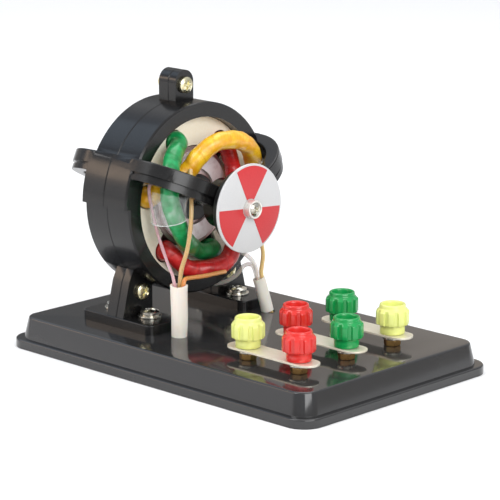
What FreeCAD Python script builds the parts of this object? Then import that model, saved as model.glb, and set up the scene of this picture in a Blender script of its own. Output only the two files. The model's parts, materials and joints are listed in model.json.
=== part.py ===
"""Demonstration electric motor: a three-phase motor with an open frame on a tray with six terminals.

Millimetres. +Z is up, +X runs along the tray from the motor to the terminals, and the origin is the
middle of the tray's underside. A clock angle is measured about the motor axis from the top, and is
positive towards +Y.
"""
import FreeCAD
import Part
import math
import os

V = FreeCAD.Vector
TOUCH = 0.05

# Tray
BASE_LENGTH = 200.0
BASE_WIDTH = 130.0
BASE_CORNER = 10.6
RIM_HEIGHT = 4.5
BODY_INSET = 2.5
TOP_INSET = 5.5
BASE_TOP = 15.0
TOP_THICKNESS = 2.8
TOP_UNDERSIDE = BASE_TOP - TOP_THICKNESS
WALL = 2.5
RIB_THICKNESS = 2.0
RIB_DROP = 6.0
BASE_RIBS_X = (-78.0, 88.0)

# Motor frame
AXIS_Z = 74.5
SEAM_X = -46.0
RING_DEPTH = 15.5
RING_OUTER = 46.75
RING_INNER = 39.5
RING_EDGE = 0.8
SEAM_BEVEL = 0.4
CORE_SEAT = 41.05
CORE_HALF = 8.3
PAD_RADIUS = 49.25
PAD_CLOCKS = (58.7, 88.5)
ARM_CLOCK = 64.5
ARM_WIDTH = 10.0
ARM_THICKNESS = 6.8
ARM_BEND = 27.0
ARM_EDGE = 0.7
GROOVE = (1.2, 2.4)
GROOVE_DEPTH = 1.5
STEP_DEPTH = 0.7
ARM_REACH = 42.0
HUB_RADIUS = 12.0
HUB_DEPTH = 13.0
LUG_HALF_WIDTH = 6.0
LUG_TOP = 135.8
LUG_SCREW_Z = 128.5
FRONT_LUG = 5.0
REAR_LUG = 6.5
LEG_INNER = 22.5
FOOT_OUTER = 42.7
FOOT_INNER = 20.3
FOOT_HEIGHT = 5.0
FOOT_LENGTH = 24.4
FOOT_CORNER = 4.0
CLAMP_Y = 29.5
CLAMP_Z = 31.5
FOOT_SCREW_Y = 30.0
FRONT_FOOT_SCREW_X = -35.0
REAR_FOOT_SCREW_X = -58.5

# Screws, nuts and shaft
M3_RADIUS = 1.5
M4_RADIUS = 2.0
M5_RADIUS = 2.5
SCREW_PLAY = 0.1
THREAD_PROUD = 2.0
SHAFT_RADIUS = 4.0
BUSH_RADIUS = 6.0
BUSH_BORE = SHAFT_RADIUS + TOUCH
BUSH_FLANGE = (7.5, 1.0)
PAN_HEAD_M4 = (4.0, 2.7)
PAN_HEAD_M5 = (4.7, 3.0)
FOOT_WASHER = (5.8, 1.0)

# Stator
CORE_OUTER = 41.0
STATOR_BORE = 25.0
PLATE_OUTER = 39.4
PLATE_THICKNESS = 1.5
SLOT_WIDTH = 9.8
PLATE_SLOT_WIDTH = 11.6
SLOT_RADIUS = 30.6
SLOT_CLOCKS = (-142.0, -82.0, -22.0, 38.0, 98.0, 158.0)
COIL_RADIUS = 4.6
COIL_LEAVE_X = -32.0
COIL_ENTER_X = -32.0
LEAST_GAP = 0.4

# Each winding leaves one slot, goes half way round in front of the core and enters the opposite slot.
# Each station is the turn in degrees since the first slot, the radius and X.
GREEN_START = -22.0
GREEN_STATIONS = (
    (20, 34.0, -25.5),
    (40, 33.5, -21.3),
    (60, 32.0, -18.9),
    (80, 29.0, -17.0),
    (100, 26.5, -19.0),
    (120, 25.0, -22.5),
    (140, 23.5, -28.5),
    (160, 27.5, -31.5),
)
YELLOW_START = 98.0
YELLOW_STATIONS = (
    (20, 34.0, -27.0),
    (40, 33.0, -21.9),
    (60, 32.5, -18.5),
    (80, 31.0, -17.0),
    (100, 29.5, -19.0),
    (120, 24.5, -22.5),
    (140, 20.5, -25.0),
    (160, 27.0, -31.0),
)
RED_START = -142.0
RED_STATIONS = (
    (20, 35.5, -29.5),
    (40, 34.5, -23.5),
    (60, 34.5, -23.0),
    (80, 29.5, -26.5),
    (100, 26.5, -21.0),
    (120, 24.0, -23.0),
    (140, 22.0, -28.3),
    (160, 26.5, -31.0),
)

# Clear film round the green winding
FILM_CENTRE_RADIUS = 31.5
FILM_CENTRE_X = -19.8
FILM_RADIUS = 8.4
FILM_THICKNESS = 0.3
FILM_SECTION = (-50.0, 138.0)
FILM_CLOCKS = (-98.0, -75.5)

# Rotor
ROTOR_RADIUS = 24.6
ROTOR_HALF = 9.5
CAGE_RADIUS = 22.2
CAGE_BORE = 14.0
CAGE_RING = 1.5
BAR_RADIUS = 1.5
BAR_COUNT = 18
BAR_CIRCLE = 20.2
COLLAR_RADIUS = 11.3
COLLAR_LENGTH = 4.0
SHAFT_REAR_X = -94.0
STOP_RADIUS = 7.0
STOP_LENGTH = 4.0
STOP_GAP = 0.3
CARRIER_RADIUS = 18.4
CARRIER_REAR_X = -3.6
CARRIER_FRONT_X = 1.8
DISC_RADIUS = 21.5
DISC_THICKNESS = 1.2
SECTOR_THICKNESS = 0.15
SECTOR_RADII = (4.7, 20.5)
SECTOR_TILT = 5.0
SECTOR_SPAN = 60.0
BOSS_RADIUS = 4.4
BOSS_LENGTH = 4.0
BOSS_RECESS = (3.4, 1.4)
DISC_SCREW_HEAD = (3.1, 2.2)
DISC_SCREW_LENGTH = 12.0
DISC_SCREW_HOLE = 11.0

# Terminals
POST_XS = (37.5, 69.5)
POST_YS = (-36.5, -4.5, 27.5)
ROW_NAMES = ("near", "middle", "far")
SIDE_NAMES = ("left", "right")
NUT_M4 = (7.0, 3.2)
NUT_M5 = (8.0, 4.0)
POST_WASHER = (4.5, 0.8)
BAR_WIDTH = 12.0
BAR_OVERHANG = 11.0
BAR_THICKNESS = 1.0
CAP_GAP = 0.1
CAP_HEIGHT = 14.3
CAP_SKIRT_RADIUS = 5.9
CAP_SKIRT_HEIGHT = 4.4
CAP_RIB_RADIUS = 7.8
CAP_CORE_RADIUS = 6.9
CAP_RIB_WIDTH = 2.7
CAP_RIB_COUNT = 10
CAP_RIM_RADIUS = 6.3
CAP_RIM_HEIGHT = 2.0
CAP_RECESS = (4.7, 4.5)
INSERT_RADIUS = 4.0
INSERT_HEIGHT = 9.0
STUD_TOP = 29.6
STUD_FOOT = 3.0
TAG_THICKNESS = 0.8
TAG_LENGTH = 8.5
TAG_RADIUS = 4.2
TAG_HALF_WIDTH = 1.8

# Sleeves and leads
SLEEVE_AXIS = (-12.5, -32.0)
SLEEVE_TOP = 40.0
SLEEVE_RADII = (3.7, 4.3)
SLEEVE_BORE = 3.2
TILTED_FOOT = V(-14.3, 30.0, 15.9)
TILTED_TOP = V(-17.2, 27.1, 31.7)
TILTED_RADIUS = 3.0
TILTED_BORE = 2.6
LEAD_RADIUS = 1.1
THIN_LEAD_RADIUS = 0.8
LEAD_OFFSET = 1.39
LEAD_HOLE = 3.25
LEAD_LEVEL = 6.25


def unit(vector):
    """The same direction with length 1."""
    return V(vector) / vector.Length


def rod(radius, start, end):
    """A solid cylinder from one point to another."""
    start = V(*start)
    end = V(*end)
    return Part.makeCylinder(radius, (end - start).Length, start, end - start)


def round_x(radius, x_start, x_end, y=0.0, z=AXIS_Z):
    """A solid cylinder along X."""
    return rod(radius, (x_start, y, z), (x_end, y, z))


def round_z(radius, x, y, z_start, z_end):
    """A solid cylinder along Z."""
    return rod(radius, (x, y, z_start), (x, y, z_end))


def block(low, high):
    """A box from its lowest to its highest corner."""
    low = V(*low)
    size = V(*high) - low
    return Part.makeBox(size.x, size.y, size.z, low)


def polygon_face(points):
    """A flat face inside a closed outline."""
    corners = [V(*point) for point in points]
    return Part.Face(Part.makePolygon(corners + corners[:1]))


def turned(shape, clock):
    """The shape turned about the motor axis from the top to a clock angle."""
    copy = shape.copy()
    copy.rotate(V(0, 0, AXIS_Z), V(1, 0, 0), -clock)
    return copy


def clock_point(clock, radius, x):
    """The point at a clock angle and radius from the motor axis."""
    angle = math.radians(clock)
    return V(x, radius * math.sin(angle), AXIS_Z + radius * math.cos(angle))


def mirrored(shape):
    """The shape mirrored in the seam between the two housings."""
    return shape.mirror(V(SEAM_X, 0, 0), V(1, 0, 0))


def lathe_x(profile):
    """A turned solid from (x, radius) points about the motor axis."""
    face = polygon_face([(x, 0, AXIS_Z + radius) for x, radius in profile])
    return face.revolve(V(0, 0, AXIS_Z), V(1, 0, 0), 360)


def lathe_z(profile):
    """A turned solid from (radius, z) points about the Z axis."""
    face = polygon_face([(radius, 0, z) for radius, z in profile])
    return face.revolve(V(0, 0, 0), V(0, 0, 1), 360)


def rounded_outline(length, width, corner, z):
    """A closed rounded rectangle centred on the origin."""
    half_x = length / 2
    half_y = width / 2
    edges = []
    last = None
    first = None
    diagonal = corner * math.sqrt(0.5)
    for sign_x, sign_y in ((1, -1), (1, 1), (-1, 1), (-1, -1)):
        centre = V(sign_x * (half_x - corner), sign_y * (half_y - corner), z)
        along_x = centre + V(sign_x * corner, 0, 0)
        along_y = centre + V(0, sign_y * corner, 0)
        start, end = (along_y, along_x) if sign_x * sign_y < 0 else (along_x, along_y)
        middle = centre + V(sign_x * diagonal, sign_y * diagonal, 0)
        if last is not None:
            edges.append(Part.LineSegment(last, start).toShape())
        else:
            first = start
        edges.append(Part.Arc(start, middle, end).toShape())
        last = end
    edges.append(Part.LineSegment(last, first).toShape())
    return Part.Wire(edges)


def tapered_block(inset_low, z_low, inset_high, z_high):
    """A block with rounded corners whose sides draw in from one inset of the tray to another."""
    outlines = [
        rounded_outline(BASE_LENGTH - 2 * inset, BASE_WIDTH - 2 * inset, BASE_CORNER - inset / 2, z)
        for inset, z in ((inset_low, z_low), (inset_high, z_high))
    ]
    return Part.makeLoft(outlines, True, True)


def placed(shape, position, axis=V(0, 0, 1)):
    """A shape made on the Z axis, moved to a position with its Z along an axis."""
    copy = shape.copy()
    copy.Placement = FreeCAD.Placement(V(*position), FreeCAD.Rotation(V(0, 0, 1), axis))
    return copy


def route(points):
    """Straight runs joined by tangent arcs. Each arc takes 0.45 of the shorter run beside it."""
    share = 0.45
    edges = []
    radii = []
    here = points[0]
    for before, corner, after in zip(points, points[1:], points[2:]):
        arrive = unit(corner - before)
        leave = unit(after - corner)
        reach = share * min((corner - before).Length, (after - corner).Length)
        half_turn = arrive.getAngle(leave) / 2
        radius = reach / math.tan(half_turn)
        inwards = unit(leave - arrive)
        start = corner - arrive * reach
        end = corner + leave * reach
        middle = corner + inwards * (radius / math.cos(half_turn) - radius)
        edges.append(Part.LineSegment(here, start).toShape())
        edges.append(Part.Arc(start, middle, end).toShape())
        radii.append(radius)
        here = end
    edges.append(Part.LineSegment(here, points[-1]).toShape())
    return Part.Wire(edges), radii


def tube(points, radius):
    """A round solid along a route, with the route's wire and the radii of its arcs."""
    wire, radii = route(points)
    section = Part.Wire([Part.Circle(points[0], points[1] - points[0], radius).toShape()])
    return wire.makePipeShell([section], True, False), wire, radii


def report_tube(name, solid, wire, radii, radius):
    """Print the arcs of a tube and its volume against its section times its length."""
    expected = math.pi * radius ** 2 * wire.Length
    print(f"{name}: length {wire.Length:.1f}, least arc {min(radii):.2f}, arcs "
          f"{[round(value, 1) for value in radii]}, volume ratio {solid.Volume / expected:.4f}")


def hex_nut(size, bore):
    """A hexagon nut on the Z axis, with its corners chamfered at both faces."""
    across_flats, height = size
    corner = across_flats / math.sqrt(3)
    bevel = corner - across_flats / 2
    turns = [math.radians(60 * index) for index in range(6)]
    outline = [(corner * math.cos(turn), corner * math.sin(turn), 0) for turn in turns]
    prism = polygon_face(outline).extrude(V(0, 0, height))
    edge_profile = [
        (0, 0),
        (corner - bevel, 0),
        (corner, bevel / 2),
        (corner, height - bevel / 2),
        (corner - bevel, height),
        (0, height),
    ]
    return prism.common(lathe_z(edge_profile)).cut(round_z(bore, 0, 0, -1, height + 1))


def flat_washer(outer, bore, thickness):
    """A flat washer on the Z axis."""
    return round_z(outer, 0, 0, 0, thickness).cut(round_z(bore, 0, 0, -1, thickness + 1))


def pan_screw(shank_radius, shank_length, head_radius, head_height):
    """A pan head screw on the Z axis: the head stands on Z 0 and has a cross recess."""
    shoulder = head_height * 0.55
    dome = [
        V(0, 0, 0),
        V(head_radius, 0, 0),
        V(head_radius, 0, shoulder),
        V(head_radius * 0.62, 0, head_height * 0.93),
        V(0, 0, head_height),
    ]
    edges = [
        Part.LineSegment(dome[0], dome[1]).toShape(),
        Part.LineSegment(dome[1], dome[2]).toShape(),
        Part.Arc(dome[2], dome[3], dome[4]).toShape(),
        Part.LineSegment(dome[4], dome[0]).toShape(),
    ]
    head = Part.Face(Part.Wire(edges)).revolve(V(0, 0, 0), V(0, 0, 1), 360)
    slot_half = head_radius * 0.55
    slot_width = head_radius * 0.13
    slot_floor = head_height * 0.4
    for half_x, half_y in ((slot_half, slot_width), (slot_width, slot_half)):
        head = head.cut(block((-half_x, -half_y, slot_floor), (half_x, half_y, head_height + 1)))
    return head.fuse(round_z(shank_radius, 0, 0, -shank_length, 0)).removeSplitter()


def base_tray():
    """The tray: a flat rim, a body with drawn-in sides and an open hollow with two ribs."""
    rim = Part.Face(rounded_outline(BASE_LENGTH, BASE_WIDTH, BASE_CORNER, 0))
    rim = rim.extrude(V(0, 0, RIM_HEIGHT))
    rim = rim.makeFillet(0.9, level_edges(rim, RIM_HEIGHT))
    body = tapered_block(BODY_INSET, 0, TOP_INSET, BASE_TOP)
    body = body.makeFillet(1.2, level_edges(body, BASE_TOP))
    tray = rim.fuse(body)
    tray = tray.cut(tapered_block(BODY_INSET + WALL, -1, TOP_INSET + WALL, TOP_UNDERSIDE))
    rib_half = BASE_WIDTH / 2 - BODY_INSET - WALL / 2 - TOP_INSET / 2
    for x in BASE_RIBS_X:
        low = (x - RIB_THICKNESS / 2, -rib_half, TOP_UNDERSIDE - RIB_DROP)
        high = (x + RIB_THICKNESS / 2, rib_half, TOP_UNDERSIDE + 1)
        tray = tray.fuse(block(low, high))
    for x, y in post_places():
        tray = tray.cut(round_z(M4_RADIUS + SCREW_PLAY, x, y, 0, BASE_TOP + 1))
    for x, y in foot_screw_places():
        tray = tray.cut(round_z(M5_RADIUS + SCREW_PLAY, x, y, 0, BASE_TOP + 1))
    for x, y in (SLEEVE_AXIS, tilted_hole()):
        tray = tray.cut(round_z(LEAD_HOLE, x, y, 0, BASE_TOP + 1))
    return tray.removeSplitter()


def level_edges(shape, z):
    """The edges of a shape that lie flat at one height."""
    return [edge for edge in shape.Edges if abs(edge.BoundBox.ZMin - z) + abs(edge.BoundBox.ZMax - z) < 1e-3]


def post_places():
    """Where the six terminals stand, row by row."""
    return [(x, y) for y in POST_YS for x in POST_XS]


def foot_screw_places():
    """Where the four foot screws stand."""
    return [(x, y) for x in (FRONT_FOOT_SCREW_X, REAR_FOOT_SCREW_X) for y in (-FOOT_SCREW_Y, FOOT_SCREW_Y)]


def clamp_places():
    """Where the three screws that clamp the housings together run, as (y, z)."""
    return [(0.0, LUG_SCREW_Z), (-CLAMP_Y, CLAMP_Z), (CLAMP_Y, CLAMP_Z)]


def tilted_hole():
    """Where the tilted sleeve's leads go through the tray."""
    down = unit(TILTED_FOOT - TILTED_TOP)
    middle = TILTED_FOOT + down * ((TILTED_FOOT.z - (BASE_TOP + TOP_UNDERSIDE) / 2) / -down.z)
    return (middle.x, middle.y)


def arm_band(outer, thickness, half_low, half_high):
    """A bent strip that runs forwards along the ring and turns in towards the hub."""
    front = SEAM_X + ARM_REACH
    centre_x = front - ARM_BEND
    centre_r = PAD_RADIUS - ARM_BEND
    bend = outer - centre_r
    inner_bend = bend - thickness
    start = SEAM_X + RING_DEPTH - 3.0
    diagonal = math.sqrt(0.5)

    def spot(x, radius):
        return V(x, half_low, AXIS_Z + radius)

    def corner(radius):
        return spot(centre_x + radius * diagonal, centre_r + radius * diagonal)

    foot_r = HUB_RADIUS / 2
    edges = [
        Part.LineSegment(spot(start, outer), spot(centre_x, outer)).toShape(),
        Part.Arc(spot(centre_x, outer), corner(bend), spot(centre_x + bend, centre_r)).toShape(),
        Part.LineSegment(spot(centre_x + bend, centre_r), spot(centre_x + bend, foot_r)).toShape(),
        Part.LineSegment(spot(centre_x + bend, foot_r), spot(centre_x + inner_bend, foot_r)).toShape(),
        Part.LineSegment(spot(centre_x + inner_bend, foot_r), spot(centre_x + inner_bend, centre_r)).toShape(),
        Part.Arc(spot(centre_x + inner_bend, centre_r), corner(inner_bend),
                 spot(centre_x, outer - thickness)).toShape(),
        Part.LineSegment(spot(centre_x, outer - thickness), spot(start, outer - thickness)).toShape(),
        Part.LineSegment(spot(start, outer - thickness), spot(start, outer)).toShape(),
    ]
    return Part.Face(Part.Wire(edges)).extrude(V(0, half_high - half_low, 0))


def arm(side):
    """One arm at the top: edges eased, a groove, and beside it a lower strip. Turned to its clock angle."""
    half = ARM_WIDTH / 2
    strip = arm_band(PAD_RADIUS, ARM_THICKNESS, -half, half)
    long_edges = [
        edge for edge in strip.Edges
        if edge.BoundBox.YLength < 1e-6 and edge.BoundBox.XMax > SEAM_X + RING_DEPTH - 2
        and edge.BoundBox.ZMax > AXIS_Z + HUB_RADIUS
    ]
    strip = strip.makeFillet(ARM_EDGE, long_edges)
    first, last = GROOVE
    groove = arm_band(PAD_RADIUS + 1, GROOVE_DEPTH + 1, first, last)
    step = arm_band(PAD_RADIUS + 1, STEP_DEPTH + 1, last, half + 1)
    hub_keep = round_x(HUB_RADIUS + 3, SEAM_X, 0)
    strip = strip.cut(groove.fuse(step).cut(hub_keep))
    if side < 0:
        strip = strip.mirror(V(0, 0, 0), V(0, 1, 0))
    return turned(strip, side * ARM_CLOCK)


def pad(side):
    """A raised pad on the ring that carries the root of an arm."""
    first, last = PAD_CLOCKS
    start_x = SEAM_X
    end_x = SEAM_X + RING_DEPTH
    low = RING_OUTER - 2
    profile = polygon_face([
        (start_x, 0, AXIS_Z + low),
        (start_x, 0, AXIS_Z + PAD_RADIUS - SEAM_BEVEL),
        (start_x + SEAM_BEVEL, 0, AXIS_Z + PAD_RADIUS),
        (end_x - RING_EDGE, 0, AXIS_Z + PAD_RADIUS),
        (end_x, 0, AXIS_Z + PAD_RADIUS - RING_EDGE),
        (end_x, 0, AXIS_Z + low),
    ])
    sector = profile.revolve(V(0, 0, AXIS_Z), V(1, 0, 0), last - first)
    return turned(sector, last) if side > 0 else turned(sector, -first)


def bevelled_at_seam(shape):
    """The shape with its edges at the seam bevelled, so that the two halves meet in a groove."""
    return shape.makeChamfer(SEAM_BEVEL, [
        edge for edge in shape.Edges
        if edge.BoundBox.XMax < SEAM_X + 1e-3 and edge.BoundBox.ZMax > BASE_TOP + 1
    ])


def leg(side, thickness):
    """One leg from the ring down to its foot."""
    outline = [
        (LEG_INNER, BASE_TOP),
        (FOOT_OUTER, BASE_TOP),
        (FOOT_OUTER - 0.7, BASE_TOP + FOOT_HEIGHT),
        (39.7, 29.0),
        (37.7, 37.0),
        (34.8, 42.9),
        (30.0, 45.0),
        (LEG_INNER, 36.0),
    ]
    face = polygon_face([(SEAM_X, side * y, z) for y, z in outline])
    return bevelled_at_seam(face.extrude(V(thickness, 0, 0)))


def foot(side, screw_x):
    """One foot flange with rounded outer corners and its screw hole."""
    end_x = SEAM_X + FOOT_LENGTH
    low = (SEAM_X, min(side * FOOT_INNER, side * FOOT_OUTER), BASE_TOP)
    high = (end_x, max(side * FOOT_INNER, side * FOOT_OUTER), BASE_TOP + FOOT_HEIGHT)
    plate = block(low, high)
    corners = [edge for edge in plate.Edges if edge.BoundBox.XMin > end_x - 1e-3 and edge.BoundBox.ZLength > 1]
    plate = plate.makeFillet(FOOT_CORNER, corners)
    plate = plate.makeFillet(0.6, [
        edge for edge in level_edges(plate, BASE_TOP + FOOT_HEIGHT) if edge.BoundBox.XMax > SEAM_X + 1
    ])
    return plate.cut(round_z(M5_RADIUS + SCREW_PLAY, screw_x, side * FOOT_SCREW_Y, 0, 2 * BASE_TOP))


def top_lug(thickness):
    """The upright lug with a round top that carries the top clamp screw."""
    centre_z = LUG_TOP - LUG_HALF_WIDTH
    low = (SEAM_X, -LUG_HALF_WIDTH, AXIS_Z + RING_INNER + 4)
    post = block(low, (SEAM_X + thickness, LUG_HALF_WIDTH, centre_z))
    lug = post.fuse(round_x(LUG_HALF_WIDTH, SEAM_X, SEAM_X + thickness, 0, centre_z))
    return bevelled_at_seam(lug.removeSplitter())


def housing(lug_thickness, screw_x):
    """One half of the motor frame, drawn as the front half."""
    front = SEAM_X + RING_DEPTH
    ring = lathe_x([
        (SEAM_X, RING_INNER - 1),
        (SEAM_X, RING_OUTER - SEAM_BEVEL),
        (SEAM_X + SEAM_BEVEL, RING_OUTER),
        (front - RING_EDGE, RING_OUTER),
        (front, RING_OUTER - RING_EDGE),
        (front, RING_INNER - 1),
    ])
    shell = ring
    for side in (-1, 1):
        shell = shell.fuse(pad(side))
        shell = shell.fuse(leg(side, lug_thickness))
        shell = shell.fuse(foot(side, screw_x))
    shell = shell.fuse(top_lug(lug_thickness))
    shell = shell.cut(round_x(RING_INNER, SEAM_X - 1, front + 1))
    hub_front = SEAM_X + ARM_REACH
    hub = lathe_x([
        (hub_front - HUB_DEPTH, 0),
        (hub_front - HUB_DEPTH, HUB_RADIUS - 0.6),
        (hub_front - HUB_DEPTH + 0.6, HUB_RADIUS),
        (hub_front, HUB_RADIUS),
        (hub_front, 0),
    ])
    for side in (-1, 1):
        hub = hub.fuse(arm(side))
    shell = shell.fuse(hub)
    shell = shell.cut(round_x(CORE_SEAT, SEAM_X - 1, SEAM_X + CORE_HALF))
    shell = shell.cut(round_x(BUSH_RADIUS, hub_front - HUB_DEPTH - 1, hub_front + 1))
    for y, z in clamp_places():
        shell = shell.cut(round_x(M4_RADIUS + SCREW_PLAY, SEAM_X - 1, SEAM_X + REAR_LUG + 1, y, z))
    return shell.removeSplitter()


def front_housing():
    """The housing half that faces the terminals."""
    return housing(FRONT_LUG, FRONT_FOOT_SCREW_X)


def rear_housing():
    """The other half: thicker lugs, and its foot screws further from the seam."""
    return mirrored(housing(REAR_LUG, 2 * SEAM_X - REAR_FOOT_SCREW_X))


def slot_cutter(clock, width):
    """The space of one open slot, through core and plates."""
    half = width / 2
    reach = CORE_HALF + PLATE_THICKNESS + 1
    low = (SEAM_X - reach, -half, AXIS_Z + STATOR_BORE - 2)
    high = (SEAM_X + reach, half, AXIS_Z + SLOT_RADIUS)
    throat = block(low, high)
    floor = round_x(half, SEAM_X - reach, SEAM_X + reach, 0, AXIS_Z + SLOT_RADIUS)
    return turned(throat.fuse(floor), clock)


def slotted_ring(outer, x_start, x_end, slot_width):
    """A ring about the motor axis with the rotor bore and six slots."""
    ring = round_x(outer, x_start, x_end).cut(round_x(STATOR_BORE, x_start - 1, x_end + 1))
    for clock in SLOT_CLOCKS:
        ring = ring.cut(slot_cutter(clock, slot_width))
    return ring


def stator_core():
    """The laminated core between the two housings."""
    return slotted_ring(CORE_OUTER, SEAM_X - CORE_HALF, SEAM_X + CORE_HALF, SLOT_WIDTH)


def front_end_plate():
    """The cream plate on the front of the core, with wider slots so that the windings clear its edges."""
    face = SEAM_X + CORE_HALF
    return slotted_ring(PLATE_OUTER, face, face + PLATE_THICKNESS, PLATE_SLOT_WIDTH)


def coil_points(start_clock, stations):
    """The corners of half a winding, from the seam through one slot and back into the other."""
    points = [
        clock_point(start_clock, SLOT_RADIUS, SEAM_X),
        clock_point(start_clock, SLOT_RADIUS, COIL_LEAVE_X),
    ]
    points += [clock_point(start_clock - turn, radius, x) for turn, radius, x in stations]
    points += [
        clock_point(start_clock - 180, SLOT_RADIUS, COIL_ENTER_X),
        clock_point(start_clock - 180, SLOT_RADIUS, SEAM_X),
    ]
    return points


def coil(name, start_clock, stations):
    """A taped winding: a closed round bundle, the same behind the core as in front."""
    half, wire, radii = tube(coil_points(start_clock, stations), COIL_RADIUS)
    report_tube(name + " half", half, wire, radii, COIL_RADIUS)
    return half.fuse(mirrored(half)).removeSplitter(), wire


def wire_gap(first, second, radius):
    """The least gap between two round bundles that follow two wires."""
    return first.distToShape(second)[0] - 2 * radius


def self_gap(wire, radius, apart):
    """The least gap of a bundle to itself, on points further than a length apart along the wire."""
    points = wire.discretize(Number=160)
    step = wire.Length / (len(points) - 1)
    skip = int(apart / step) + 1
    gaps = [
        points[i].distanceToPoint(points[j])
        for i in range(len(points))
        for j in range(i + skip, len(points))
    ]
    return min(gaps) - 2 * radius


def coil_wrap_film():
    """A clear film bent round the front of the green winding."""
    def spot(radius, angle):
        turn = math.radians(angle)
        return V(FILM_CENTRE_X + radius * math.cos(turn), 0,
                 AXIS_Z + FILM_CENTRE_RADIUS + radius * math.sin(turn))

    first, last = FILM_SECTION
    middle = (first + last) / 2
    inner = FILM_RADIUS
    outer = FILM_RADIUS + FILM_THICKNESS
    edges = [
        Part.Arc(spot(inner, first), spot(inner, middle), spot(inner, last)).toShape(),
        Part.LineSegment(spot(inner, last), spot(outer, last)).toShape(),
        Part.Arc(spot(outer, last), spot(outer, middle), spot(outer, first)).toShape(),
        Part.LineSegment(spot(outer, first), spot(inner, first)).toShape(),
    ]
    low, high = FILM_CLOCKS
    film = Part.Face(Part.Wire(edges)).revolve(V(0, 0, AXIS_Z), V(1, 0, 0), high - low)
    return turned(film, high)


def bush():
    """The front bearing bush with its inner collar."""
    front = SEAM_X + ARM_REACH
    rear = front - HUB_DEPTH
    flange_radius, flange_thickness = BUSH_FLANGE
    return lathe_x([
        (rear - flange_thickness, BUSH_BORE),
        (rear - flange_thickness, flange_radius),
        (rear, flange_radius),
        (rear, BUSH_RADIUS),
        (front, BUSH_RADIUS),
        (front, BUSH_BORE),
    ])


def bar_places():
    """Centres of the cage bars as clock points at the seam."""
    return [clock_point(360 * index / BAR_COUNT, BAR_CIRCLE, SEAM_X) for index in range(BAR_COUNT)]


def rotor_core():
    """The laminated rotor with its shaft hole and a hole for each cage bar."""
    core = round_x(ROTOR_RADIUS, SEAM_X - ROTOR_HALF, SEAM_X + ROTOR_HALF)
    core = core.cut(round_x(SHAFT_RADIUS, SEAM_X - ROTOR_HALF - 1, SEAM_X + ROTOR_HALF + 1))
    for place in bar_places():
        hole = round_x(BAR_RADIUS + TOUCH, SEAM_X - ROTOR_HALF - 1, SEAM_X + ROTOR_HALF + 1, place.y, place.z)
        core = core.cut(hole)
    return core


def rotor_cage():
    """The cast cage: bars through the core joined by a ring at each end."""
    face = ROTOR_HALF
    ring = round_x(CAGE_RADIUS, SEAM_X + face, SEAM_X + face + CAGE_RING)
    ring = ring.cut(round_x(CAGE_BORE, SEAM_X, SEAM_X + face + CAGE_RING + 1))
    cage = ring.fuse(mirrored(ring))
    for place in bar_places():
        cage = cage.fuse(round_x(BAR_RADIUS, SEAM_X - face, SEAM_X + face, place.y, place.z))
    return cage.removeSplitter()


def collar():
    """The black collar in front of the rotor core."""
    start = SEAM_X + ROTOR_HALF
    ring = round_x(COLLAR_RADIUS, start, start + COLLAR_LENGTH)
    return ring.cut(round_x(SHAFT_RADIUS, start - 1, start + COLLAR_LENGTH + 1))


def rotor_shaft():
    """The steel shaft with a blind hole for the disc screw."""
    shaft = lathe_x([
        (SHAFT_REAR_X, 0),
        (SHAFT_REAR_X, SHAFT_RADIUS - 0.5),
        (SHAFT_REAR_X + 0.5, SHAFT_RADIUS),
        (CARRIER_FRONT_X, SHAFT_RADIUS),
        (CARRIER_FRONT_X, 0),
    ])
    return shaft.cut(round_x(M3_RADIUS + TOUCH, CARRIER_FRONT_X - DISC_SCREW_HOLE, CARRIER_FRONT_X + 1))


def rear_stop_collar():
    """The collar behind the rear hub that keeps the rotor from sliding forwards."""
    hub_face = 2 * SEAM_X - (SEAM_X + ARM_REACH)
    front = hub_face - STOP_GAP
    rear = front - STOP_LENGTH
    return round_x(STOP_RADIUS, rear, front).cut(round_x(SHAFT_RADIUS, rear - 1, hub_face))


def disc_carrier():
    """The black disc on the shaft end, with an eased edge."""
    edge = 0.6
    return lathe_x([
        (CARRIER_REAR_X, SHAFT_RADIUS),
        (CARRIER_REAR_X, CARRIER_RADIUS - edge),
        (CARRIER_REAR_X + edge, CARRIER_RADIUS),
        (CARRIER_FRONT_X, CARRIER_RADIUS),
        (CARRIER_FRONT_X, SHAFT_RADIUS),
    ])


def sector_disc():
    """The light disc that shows the direction of rotation."""
    disc = round_x(DISC_RADIUS, CARRIER_FRONT_X, CARRIER_FRONT_X + DISC_THICKNESS)
    return disc.cut(round_x(M3_RADIUS + TOUCH, CARRIER_FRONT_X - 1, CARRIER_FRONT_X + DISC_THICKNESS + 1))


def disc_red_sectors():
    """Three thin red sectors on the face of the disc."""
    face_x = CARRIER_FRONT_X + DISC_THICKNESS
    inner, outer = SECTOR_RADII
    profile = polygon_face([
        (face_x, 0, AXIS_Z + inner),
        (face_x, 0, AXIS_Z + outer),
        (face_x + SECTOR_THICKNESS, 0, AXIS_Z + outer),
        (face_x + SECTOR_THICKNESS, 0, AXIS_Z + inner),
    ])
    sector = profile.revolve(V(0, 0, AXIS_Z), V(1, 0, 0), SECTOR_SPAN)
    sectors = [turned(sector, SECTOR_TILT + SECTOR_SPAN / 2 + 120 * index) for index in range(3)]
    return Part.makeCompound(sectors)


def disc_boss():
    """The bright boss in front of the disc, with a recess for the screw head."""
    front = BOSS_LENGTH
    recess_radius, recess_depth = BOSS_RECESS
    boss = lathe_z([
        (M3_RADIUS + TOUCH, 0),
        (BOSS_RADIUS, 0),
        (BOSS_RADIUS, front - 0.4),
        (BOSS_RADIUS - 0.4, front),
        (recess_radius, front),
        (recess_radius, front - recess_depth),
        (M3_RADIUS + TOUCH, front - recess_depth),
    ])
    return placed(boss, (CARRIER_FRONT_X + DISC_THICKNESS, 0, AXIS_Z), V(1, 0, 0))


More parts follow.
